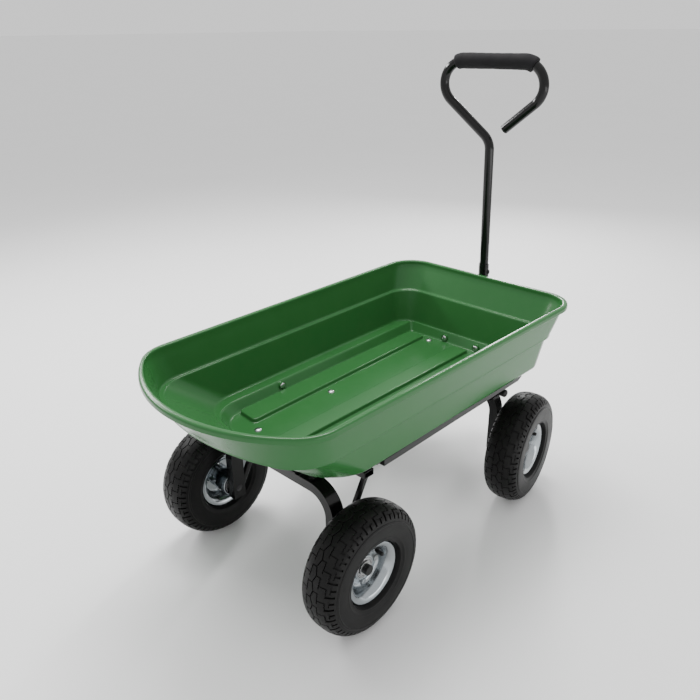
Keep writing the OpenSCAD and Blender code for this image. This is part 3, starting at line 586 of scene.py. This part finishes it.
def softened(node, width, skip=None, fine=0.4):
    """A copy of a steel part with its long outer edges rounded and the rest just broken."""
    source = frame["nodes"][node]
    take(source)
    bpy.ops.object.duplicate(linked=False)
    piece = bpy.context.object
    piece.name = node + "_part"
    piece.parent = None
    for key in list(piece.keys()):
        del piece[key]
    open_mesh(piece)
    bpy.ops.mesh.select_all(action="SELECT")
    bpy.ops.mesh.remove_doubles(threshold=2e-6)
    bpy.ops.mesh.dissolve_limited(angle_limit=radians(0.6))

    def sharp(edge):
        if len(edge.link_faces) != 2 or not edge.is_convex or edge.calc_face_angle(0) < radians(35):
            return False
        return not (skip and skip((edge.verts[0].co + edge.verts[1].co) / 2, edge))
    if width:
        pick_edges(piece, sharp)
        bpy.ops.mesh.bevel(offset=width * MM, segments=3, clamp_overlap=True)
    close_mesh()
    if fine:
        bevel(piece, fine * MM, 2, 32)
    return finish_piece(piece, node, smooth=35)


def make_steel_parts():
    leg_foot = {arch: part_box(arch)[0].z + 0.5 * MM for arch in ("rear_arch", "front_arch")}
    for arch, foot in leg_foot.items():
        softened(arch, 2.6, skip=lambda middle, edge, foot=foot: middle.z < foot)
    low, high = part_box("backbone")
    softened("backbone", 2.6, skip=lambda middle, edge: min(middle.x - low.x, high.x - middle.x) < MM)
    softened("rear_crossmember", 0, fine=0.6)
    softened("rear_braces", 2.2, fine=0)
    for node in ("tray_frame", "front_bracket", "bolster_plate", "drawbar", "hinge_brackets",
                 "release_lever"):
        softened(node, 0, fine=1.0)
    for node in ("rear_axle", "front_axle", "handle_socket", "kingpin", "hinge_pins", "latch_keeper", "yoke_bolt",
                 "thrust_washer", "handle_screw", "release_knob", "rear_axle_washers", "front_axle_washers",
                 "floor_bolts", "wall_bolts", "rear_axle_caps", "front_axle_caps"):
        softened(node, 0, fine=0.5)


# ---------- handle ----------

HANDLE_LEAN = radians(3.25)
TUBE_R, TUBE_BORE = 11, 9.4
GRIP_R, GRIP_BORE = 17.5, 11.15
SLOPE = radians(50)
START_V = 198
LOW_BEND_R, BULB_R = 45, 50
GRIP_V = 738.7
BULB_U = 122 - BULB_R
BULB_V = GRIP_V - BULB_R
SLOPE_TOP = (BULB_U + BULB_R * cos(SLOPE), BULB_V - BULB_R * sin(SLOPE))
LOW_BEND_U = LOW_BEND_R * (1 - cos(SLOPE))
SLOPE_LEN = (SLOPE_TOP[0] - LOW_BEND_U) / sin(SLOPE)
LOW_BEND_V = SLOPE_TOP[1] - SLOPE_LEN * cos(SLOPE) - LOW_BEND_R * sin(SLOPE)
OPEN_LEN = 92

fold = JOINTS["handle_fold"]
PIVOT = Vector(fold["pos_m"])
LEFT = Vector(fold["axis"]).normalized()
FORWARD = LEFT.cross(UP)
HANDLE_UP = UP * cos(HANDLE_LEAN) - FORWARD * sin(HANDLE_LEAN)
SQUARE = LEFT.cross(HANDLE_UP).normalized()


def run(start, heading, length, count):
    """Stations of (u, v, du, dv) along a straight length of tube."""
    du, dv = heading
    return [(start[0] + du * length * i / count, start[1] + dv * length * i / count, du, dv)
            for i in range(count + 1)]


def bend(centre, radius, start, end, count):
    """Stations round a bend of tube, from one angle to another."""
    way = 1 if end > start else -1
    stations = []
    for i in range(count + 1):
        a = start + (end - start) * i / count
        u, v = centre[0] + radius * cos(a), centre[1] + radius * sin(a)
        stations.append((u, v, -way * sin(a), way * cos(a)))
    return stations


def on_handle(stations, radius):
    """Flat stations as rings on the leaning handle. The radius may depend on the share of the way."""
    rings = []
    for i, (u, v, du, dv) in enumerate(stations):
        r = radius(i / (len(stations) - 1)) if callable(radius) else radius
        rings.append((PIVOT + (LEFT * u + HANDLE_UP * v) * MM, LEFT * du + HANDLE_UP * dv, r * MM))
    return rings


def make_handle_tube():
    route = run((0, START_V), (0, 1), LOW_BEND_V - START_V, 4)
    route += bend((LOW_BEND_R, LOW_BEND_V), LOW_BEND_R, pi, pi - SLOPE, 12)[1:]
    slope_foot = (LOW_BEND_U, LOW_BEND_V + LOW_BEND_R * sin(SLOPE))
    route += run(slope_foot, (sin(SLOPE), cos(SLOPE)), SLOPE_LEN, 4)[1:]
    route += bend((BULB_U, BULB_V), BULB_R, -SLOPE, pi / 2, 30)[1:]
    route += run((BULB_U, GRIP_V), (-1, 0), 2 * BULB_U, 4)[1:]
    route += bend((-BULB_U, BULB_V), BULB_R, pi / 2, pi + SLOPE, 30)[1:]
    route += run((-SLOPE_TOP[0], SLOPE_TOP[1]), (sin(SLOPE), -cos(SLOPE)), OPEN_LEN, 4)[1:]
    rings = on_handle(route, TUBE_R)
    end, way, _ = rings.pop()
    for back, radius in ((0.7, TUBE_R), (0.2, TUBE_R - 0.25), (0, TUBE_R - 0.7), (0, TUBE_BORE + 0.4),
                         (0.4, TUBE_BORE), (45, TUBE_BORE)):
        rings.append((end - way * back * MM, way, radius * MM))
    return finish_piece(swept("handle_tube", rings, SQUARE, 40), "handle_loop")


def make_grip():
    """The foam sleeve, a little uneven, with faint creases round it and pinched ends."""
    left_wrap, right_wrap = radians(21), radians(32)
    creases = (0.13, 0.27, 0.46, 0.68, 0.74)
    route = bend((BULB_U, BULB_V), BULB_R, pi / 2 - left_wrap, pi / 2, 10)
    route += run((BULB_U, GRIP_V), (-1, 0), 2 * BULB_U, 56)[1:]
    route += bend((-BULB_U, BULB_V), BULB_R, pi / 2, pi / 2 + right_wrap, 16)[1:]

    def swell(share):
        crease = sum(0.3 * max(0, 1 - abs(share - c) / 0.012) for c in creases)
        edge = min(share, 1 - share)
        return GRIP_R - 0.3 - crease - 0.5 * max(0, 1 - edge / 0.03) + 0.25 * sin(9 * share)
    outer = on_handle(route, swell)
    inner = on_handle(route[::-1], GRIP_BORE)
    inner = [(centre, -way, radius) for centre, way, radius in inner]
    rings = [inner[-1]]
    start, way, radius = outer[0]
    rings += [(start, way, radius - 1.2 * MM), (start + way * 0.5 * MM, way, radius - 0.3 * MM)]
    rings += outer[1:-1]
    start, way, radius = outer[-1]
    rings += [(start - way * 0.5 * MM, way, radius - 0.3 * MM), (start, way, radius - 1.2 * MM)]
    rings += inner
    grip = swept("foam_grip", rings, SQUARE, 48, closed=True)
    mesh = open_mesh(grip)
    for vertex in mesh.verts:
        lumps = noise.noise(vertex.co * 55) * 0.35 + noise.noise(vertex.co * 160) * 0.12
        vertex.co += vertex.normal * lumps * MM
    bmesh.update_edit_mesh(grip.data)
    close_mesh()
    finish_piece(grip, "handle_grip", smooth=50)
    return grip


# ---------- wheels ----------

WHEELS = ("rear_left", "rear_right", "front_left", "front_right")
TYRE_R, TYRE_HALF_W, CASING_MID = 130, 42.5, 91.25
SQUARENESS = 2.6
PITCHES = 28
PITCH = 2 * pi * TYRE_R / PITCHES
TREAD_HALF = 46
GROOVE = 3.2


def casing_table():
    """Crown to bead outside the tyre: (distance from the crown, radius, width) in millimetres."""
    rise = TYRE_R - CASING_MID
    table, travelled = [], 0.0
    for i in range(321):
        t = pi / 2 - (pi / 2 + radians(33)) * i / 320
        radius = CASING_MID + rise * (1 if sin(t) > 0 else -1) * abs(sin(t)) ** (2 / SQUARENESS)
        width = TYRE_HALF_W * abs(cos(t)) ** (2 / SQUARENESS)
        if table:
            travelled += hypot(radius - table[-1][1], width - table[-1][2])
        table.append((travelled, radius, width))
    return table


CASING = casing_table()


def on_casing(distance, lift=0.0):
    """(radius, width) at a signed distance across the tyre from the crown, lifted off the casing."""
    away = min(abs(distance), CASING[-1][0])
    k = next(i for i in range(1, len(CASING)) if CASING[i][0] >= away - 1e-9)
    (d0, r0, w0), (d1, r1, w1) = CASING[k - 1], CASING[k]
    share = (away - d0) / (d1 - d0)
    length = hypot(r1 - r0, w1 - w0)
    out_r, out_w = (w1 - w0) / length, (r0 - r1) / length
    radius = r0 + (r1 - r0) * share + lift * out_r
    width = w0 + (w1 - w0) * share + lift * out_w
    return radius, width if distance >= 0 else -width


def tread_is_groove(i, j, half_count):
    """Whether the cell i along the pitch and j across the tread lies in a groove."""
    side = 1 if j >= half_count else -1
    row = j - half_count if side > 0 else half_count - 2 - j
    i = i if side > 0 else (i + 6) % 12
    if j == half_count - 1:
        return True
    return ((row in (0, 1) and i == 0) or (row == 2 and i <= 8) or (row in (3, 4) and i == 6)
            or (row == 5 and (i >= 6 or i <= 1)) or (row in (6, 7, 8, 9) and i in (0, 1))
            or (row == 7 and 4 <= i <= 9) or (row in (8, 9) and i in (6, 7)))


def make_tread_pitch():
    """One pitch of the tread, flat: x along the tyre, y across it. Its groove cells are marked."""
    half = (1.0, 6.2, 11.6, 13.2, 20.0, 27.0, 28.8, 35.2, 36.4, 41.0, TREAD_HALF)
    across = [-v for v in half[::-1]] + list(half)
    along = [0, 1.3, 4.0, 6.8, 9.6, 12.4]
    along += [v + PITCH / 2 for v in along] + [PITCH]
    deselect_everything()
    bpy.ops.mesh.primitive_grid_add(x_subdivisions=len(along) - 1, y_subdivisions=len(across) - 1, size=1)
    piece = bpy.context.object
    piece.name = "tread"
    mesh = open_mesh(piece)
    xs = sorted({round(v.co.x, 4) for v in mesh.verts})
    ys = sorted({round(v.co.y, 4) for v in mesh.verts})
    groove = mesh.faces.layers.int.new("groove")
    for face in mesh.faces:
        middle = face.calc_center_median()
        i = sum(x < middle.x for x in xs) - 1
        j = sum(y < middle.y for y in ys) - 1
        face[groove] = int(tread_is_groove(i, j, len(half)))
    for vertex in mesh.verts:
        i, j = xs.index(round(vertex.co.x, 4)), ys.index(round(vertex.co.y, 4))
        v = across[j]
        zigzag = max(0, 1 - abs(v) / 11) * 3.0 * (abs(2 * ((along[i] / PITCH) % 1) - 1) * 2 - 1)
        wave = 0.9 * (1 if i % 2 else -1) if abs(v) in (11.6, 13.2, 27.0, 28.8) and i not in (0, 12) else 0
        vertex.co = (along[i] * MM, (v + zigzag + wave) * MM, 0)
    bmesh.update_edit_mesh(piece.data)
    close_mesh()
    return piece


def space_evenly(loop, turn_now, turn_even):
    """Notes for each vertex of a loop round the axle its angle and that of its evenly spaced place."""
    start = loop[0]
    order, before, here = [start], None, start
    for _ in loop[1:]:
        ways = [e.other_vert(here) for e in here.link_edges if e.is_boundary]
        ahead = [v for v in ways if v != before]
        before, here = here, max(ahead, key=lambda v: here.co.cross(v.co).z)
        order.append(here)
    angles = [atan2(v.co.y, v.co.x) for v in order]
    for k in range(1, len(angles)):
        while angles[k] < angles[k - 1] - pi:
            angles[k] += 2 * pi
    offset = sum(angle - 2 * pi * k / len(angles) for k, angle in enumerate(angles)) / len(angles)
    for k, (vertex, angle) in enumerate(zip(order, angles)):
        vertex[turn_now] = angle
        vertex[turn_even] = offset + 2 * pi * k / len(angles)


def make_tyre():
    """Tread wrapped round the casing, then the sidewalls, beads and liner drawn from its two edges."""
    tyre = make_tread_pitch()
    apply_modifier(tyre, "ARRAY", count=PITCHES, use_relative_offset=False, use_constant_offset=True,
                   constant_offset_displace=(PITCH * MM, 0, 0), use_merge_vertices=True, merge_threshold=2e-5)
    mesh = open_mesh(tyre)
    for vertex in mesh.verts:
        x, y, _ = vertex.co / MM
        radius, width = on_casing(y)
        turn = x / TYRE_R
        vertex.co = Vector((radius * cos(turn), radius * sin(turn), width)) * MM
    bmesh.update_edit_mesh(tyre.data)
    bpy.ops.mesh.select_all(action="SELECT")
    bpy.ops.mesh.remove_doubles(threshold=2e-5)
    pick_faces(tyre, lambda middle, normal: True)
    bpy.ops.mesh.normals_make_consistent(inside=False)
    mesh = bmesh.from_edit_mesh(tyre.data)
    groove = mesh.faces.layers.int["groove"]
    for face in mesh.faces:
        face.select = bool(face[groove])
    mesh.select_flush_mode()
    bmesh.update_edit_mesh(tyre.data)
    middle = mesh.faces[0].calc_center_median()
    outward = -1 if mesh.faces[0].normal.dot(Vector((middle.x, middle.y, 0))) > 0 else 1
    bpy.ops.mesh.extrude_region_shrink_fatten(TRANSFORM_OT_shrink_fatten={"value": outward * GROOVE * MM})

    def rim_of_groove(edge):
        return len(edge.link_faces) == 2 and edge.is_convex and edge.calc_face_angle(0) > radians(60)
    pick_edges(tyre, rim_of_groove)
    bpy.ops.mesh.bevel(offset=0.4 * MM, segments=1, clamp_overlap=True)
    bead = CASING[-1][0]
    rings = ((48.5, -1.0), (51, -1.0), (52, 0.0), (55, 0.1), (56, -0.8), (61, -0.9), (66, -0.9),
             (71, -0.9), (76, -0.7), (80, -0.6), (81, 0.0), (83, 0.0), (84, -0.6),
             (bead - 3.2, -0.5), (bead - 2.4, 0.2), (bead - 1.2, 0.1))
    walls = [on_casing(distance, lift) for distance, lift in rings if distance < bead]
    walls += [(66.6, 34.2), (65.6, 31.0), (65.0, 27.2), (60, 25.8), (55.4, 25.5), (55.2, 22.5),
              (60, 22.3), (67, 30.0),
              (80, 35.5), (100, 35.0), (115, 28.5), (122.5, 16)]
    mesh = bmesh.from_edit_mesh(tyre.data)
    turn_now, turn_even = mesh.verts.layers.float.new("turn_now"), mesh.verts.layers.float.new("turn_even")
    bmesh.update_edit_mesh(tyre.data)
    for side in (1, -1):
        pick_edges(tyre, lambda edge: edge.is_boundary and all(v.co.z * side > 0 for v in edge.verts))
        mesh = bmesh.from_edit_mesh(tyre.data)
        turn_now, turn_even = mesh.verts.layers.float["turn_now"], mesh.verts.layers.float["turn_even"]
        space_evenly([v for v in mesh.verts if v.select], turn_now, turn_even)
        for number, (radius, width) in enumerate(walls):
            bpy.ops.mesh.extrude_region_move()
            mesh = bmesh.from_edit_mesh(tyre.data)
            turn_now, turn_even = mesh.verts.layers.float["turn_now"], mesh.verts.layers.float["turn_even"]
            share = min(1, number / 3)
            for vertex in mesh.verts:
                if vertex.select:
                    turn = vertex[turn_now] * (1 - share) + vertex[turn_even] * share
                    vertex.co = Vector((radius * cos(turn), radius * sin(turn), side * width)) * MM
            bmesh.update_edit_mesh(tyre.data)
    pick_edges(tyre, lambda edge: edge.is_boundary)
    bpy.ops.mesh.bridge_edge_loops()
    return seal(tyre)


def make_rim_half(name, pockets, valve):
    """One pressed half of the split rim, outboard side up, with a pocket at each bolt."""
    corners = [(25, 0), (41, 0), (46.5, 17), (52, 25.5), (60.5, 29.0), (64.2, 26.6),
               (65.0, 27.9), (61.2, 31.4),
               (51.2, 28.0), (44.6, 18.4), (40.2, 2.2), (25, 2.2)]
    radii = (0, 5, 6, 6, 3, 0.4, 0.6, 4, 6, 6, 6, 0)
    rim = turned(name, corners, radii, 120, 6)
    for k in range(4):
        angle = radians(90 * k)
        deselect_everything()
        bpy.ops.mesh.primitive_cylinder_add(vertices=40, radius=7.2 * MM, depth=4 * MM, location=(
            33.5 * MM * cos(angle), 33.5 * MM * sin(angle), (2.2 - pockets + 2) * MM))
        boolean(rim, bpy.context.object, "DIFFERENCE")
    if valve:
        deselect_everything()
        bpy.ops.mesh.primitive_cylinder_add(vertices=40, radius=6 * MM, depth=24 * MM,
                                            location=(45 * MM * cos(pi / 4), 45 * MM * sin(pi / 4), 13 * MM),
                                            rotation=(0, pi / 2, pi / 4))
        cutter = bpy.context.object
        bpy.ops.object.transform_apply()
        boolean(rim, cutter, "DIFFERENCE")
    bevel(rim, 0.35 * MM, 2, 40)
    return rim


def make_hub():
    corners = [(20.05, -55), (25, -55), (25, 8.5), (20.05, 8.5),
               (20.05, -3.5), (16, -3.5), (16, -43), (20.05, -43)]
    return turned("hub", corners, (0.5, 1.8, 1.8, 0.5, 0, 0, 0, 0), 72, 4)


def make_bearing(z):
    """Outer race, recessed seal and inner race as one turned ring, its outer face at z + 12."""
    corners = [(8.06, 0), (20, 0), (20, 12), (17.2, 12), (16.6, 10.8), (11.4, 10.8), (10.8, 12), (8.06, 12)]
    bearing = turned("bearing", [(r, w + z) for r, w in corners], (0.5, 0.6, 0.8, 0.3, 0.3, 0.3, 0.3, 0.5), 72, 3)
    return bearing


def make_bearings():
    return join(make_bearing(-55), make_bearing(-3.5))


def make_hex(radius, low, high):
    """A hexagon with its corners turned off, between two heights in millimetres."""
    deselect_everything()
    bpy.ops.mesh.primitive_cylinder_add(vertices=6, radius=radius * MM, depth=(high - low) * MM,
                                        location=(0, 0, (low + high) / 2 * MM))
    hexagon = bpy.context.object
    bpy.ops.object.transform_apply()
    dome = turned("dome", [(0.01, low - 0.5), (radius - 0.9, low - 0.5), (radius + 0.3, low + 0.9),
                           (radius + 0.3, high - 0.9), (radius - 0.9, high + 0.5), (0.01, high + 0.5)],
                  (0, 0, 1.0, 1.0, 0, 0), 48, 3)
    boolean(hexagon, dome, "INTERSECT")
    bevel(hexagon, 0.2 * MM, 2, 25)
    return hexagon


def make_rim_bolts():
    """Bolt, washers and nut, four times round the hub."""
    thread = [(0.01, -11.6), (3.4, -11.6)]
    for k in range(9):
        thread += [(4.0, -11 + k * 0.9), (3.55, -10.55 + k * 0.9)]
    thread += [(4.0, -2.6), (4.0, 2), (0.01, 2)]
    shank = turned("shank", thread, [0] * len(thread), 24, 1)
    washer = turned("washer", [(4, 0.9), (6.9, 0.9), (6.9, 1.9), (4, 1.9)], (0, 0.3, 0.3, 0), 40, 2)
    washer_corners = [(4, -2), (6.9, -2), (6.9, -1), (4, -1)]
    back_washer = turned("back_washer", washer_corners, (0, 0.3, 0.3, 0), 40, 2)
    bolt = join(make_hex(6.4, 1.9, 6.6), make_hex(6.4, -8, -2), shank, washer, back_washer)
    out = Matrix.Translation((33.5 * MM, 0, 0))
    turns = [Matrix.Rotation(radians(90 * k), 4, "Z") for k in range(4)]
    bolts = [placed_copy(bolt, "bolt", turn @ out) for turn in turns]
    bpy.data.objects.remove(bolt)
    return join(*bolts)


def make_inner_tube():
    """The tube in the tyre and its rubber valve, which comes through the rim and bends outboard."""
    ring = [(CASING_MID + 31.5 * cos(a), 35.0 * sin(a)) for a in [2 * pi * i / 24 for i in range(24)]]
    tube = turned("tube", ring, [0] * len(ring), 72, 1)
    side = Vector((0, 1, 0))
    route = [(50, 12, -1, 0, 6.6), (46.5, 12, -1, 0, 6.6), (45.6, 12, -1, 0, 5.2), (44, 12, -1, 0, 4.6)]
    for k in range(7):
        a = pi / 2 * k / 6
        route.append((42.5 - 5 * sin(a), 17 - 5 * cos(a), -cos(a), sin(a), 4.5 - 0.1 * k))
    route += [(37.5, 19.5, 0, 1, 3.9), (37.5, 19.9, 0, 1, 3.3)]
    route += [(37.5, 20.6, 0, 1, 3.3), (37.5, 20.8, 0, 1, 3.9)]
    for k in range(4):
        route += [(37.5, 21.2 + k * 1.6, 0, 1, 4.1), (37.5, 21.9 + k * 1.6, 0, 1, 3.8)]
    route += [(37.5, 28.0, 0, 1, 4.0), (37.5, 28.8, 0, 1, 3.3), (37.5, 29.1, 0, 1, 2.0)]
    stations = [(Vector((x, 0, z)) * MM, Vector((dx, 0, dz)), r * MM) for x, z, dx, dz, r in route]
    valve = swept("valve", stations, side, 24)
    turned_valve = placed_copy(valve, "turned_valve", Matrix.Rotation(pi / 4, 4, "Z"))
    bpy.data.objects.remove(valve)
    return join(tube, turned_valve)


def wheel_matrix(wheel):
    """Where a wheel stands: local Z outboard, local X forward."""
    joint = JOINTS[wheel + "_spin"]
    outboard = Vector(joint["axis"]).normalized() * (1 if wheel.endswith("left") else -1)
    ahead = UP.cross(outboard) * (-1 if wheel.endswith("left") else 1)
    ahead = ahead if ahead.x > 0 else -ahead
    across = outboard.cross(ahead)
    matrix = Matrix((ahead, across, outboard)).transposed().to_4x4()
    matrix.translation = Vector(joint["pos_m"])
    return matrix


def make_wheels():
    flipped = Matrix.Rotation(pi, 4, "X")
    templates = {"tyre": make_tyre(), "outer_rim": make_rim_half("outer_rim", 1.3, True), "hub": make_hub(),
                 "bearings": make_bearings(), "rim_bolts": make_rim_bolts(), "inner_tube": make_inner_tube()}
    inner = make_rim_half("inner_rim", 1.2, False)
    templates["inner_rim"] = placed_copy(inner, "inner_rim_flipped", flipped)
    bpy.data.objects.remove(inner)
    for wheel in WHEELS:
        matrix = wheel_matrix(wheel)
        for part, template in templates.items():
            node = wheel + "_" + part
            finish_piece(placed_copy(template, node + "_part", matrix), node, smooth=35)
    for template in templates.values():
        bpy.data.objects.remove(template)


# ---------- return spring ----------

def make_spring():
    """Wire wound round the release shaft."""
    low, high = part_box("latch_spring")
    centre = (low + high) / 2
    wire, turns, steps = 0.85 * MM, 6, 16
    coil_r = (high.x - low.x) / 2 - wire
    length = high.y - low.y - 2 * wire
    rings = []
    for k in range(turns * steps + 1):
        a = 2 * pi * k / steps
        along = Vector((-sin(a), length / (turns * steps) / (coil_r * 2 * pi / steps), cos(a))).normalized()
        point = centre + Vector((coil_r * cos(a), -length / 2 + length * k / (turns * steps), coil_r * sin(a)))
        rings.append((point, along, Vector((cos(a), 0, sin(a)))))

    def ring(point, along, out):
        other = along.cross(out)
        return [point + wire * (out * cos(2 * pi * i / 8) + other * sin(2 * pi * i / 8)) for i in range(8)]
    spring = start_ring("return_spring", ring(*rings[0]))
    for station in rings[1:]:
        pull_ring(spring, ring(*station))
    seal(spring)
    return finish_piece(spring, "latch_spring")


# ---------- floor, light and camera ----------

def make_stage():
    deselect_everything()
    bpy.ops.mesh.primitive_plane_add(size=300, location=(0, 0, 0))
    floor = bpy.context.object
    floor.name = "studio_floor"
    finish = Finish("pale_floor", {"Roughness": 0.6, "Specular IOR Level": 0.2})
    shade = noise_node(finish.tree, finish.where, 1.5, 3)
    finish.colour(finish.mix(shade, (0.90, 0.90, 0.90), (0.93, 0.93, 0.93)))
    floor.data.materials.append(finish.material)


def soft_light(name, place, aim, size, power, tint=(1, 1, 1)):
    data = bpy.data.lights.new(name, "AREA")
    data.shape = "RECTANGLE"
    data.size, data.size_y = size
    data.energy = power
    data.color = tint
    lamp = bpy.data.objects.new(name, data)
    bpy.context.scene.collection.objects.link(lamp)
    lamp.location = place
    lamp.rotation_euler = (Vector(aim) - Vector(place)).to_track_quat("-Z", "Y").to_euler()


def make_light():
    world = bpy.data.worlds.new("studio")
    bpy.context.scene.world = world
    world.use_nodes = True
    world.node_tree.nodes["Background"].inputs["Color"].default_value = (1, 1, 1, 1)
    world.node_tree.nodes["Background"].inputs["Strength"].default_value = 1.0
    soft_light("overhead_softbox", (0.5, 0.6, 2.6), (0, 0, 0.3), (1.4, 0.8), 60)
    soft_light("left_strip", (-0.2, 2.3, 1.8), (0, 0, 0.4), (2.0, 0.25), 45)
    soft_light("front_strip", (2.3, 1.1, 1.6), (0.1, 0, 0.4), (0.25, 1.4), 34)
    soft_light("low_right_fill", (0.3, -2.2, 0.35), (0.1, 0, 0.35), (2.4, 0.5), 12)


def make_camera():
    right, up = Vector((0.6863, -0.7272, -0.0096)), Vector((0.3089, 0.2795, 0.9091))
    back = right.cross(up)
    data = bpy.data.cameras.new("camera")
    data.lens = 36.31
    data.sensor_width = 36
    camera = bpy.data.objects.new("camera", data)
    bpy.context.scene.collection.objects.link(camera)
    turn = Matrix((right, up, back)).transposed().to_4x4()
    turn.translation = (-1.0244, -0.9135, 1.0410)
    camera.matrix_world = turn
    bpy.context.scene.camera = camera


make_camera()
make_stage()
make_light()
make_tray()
make_handle_tube()
make_grip()
make_wheels()
make_spring()
make_steel_parts()
deselect_everything()
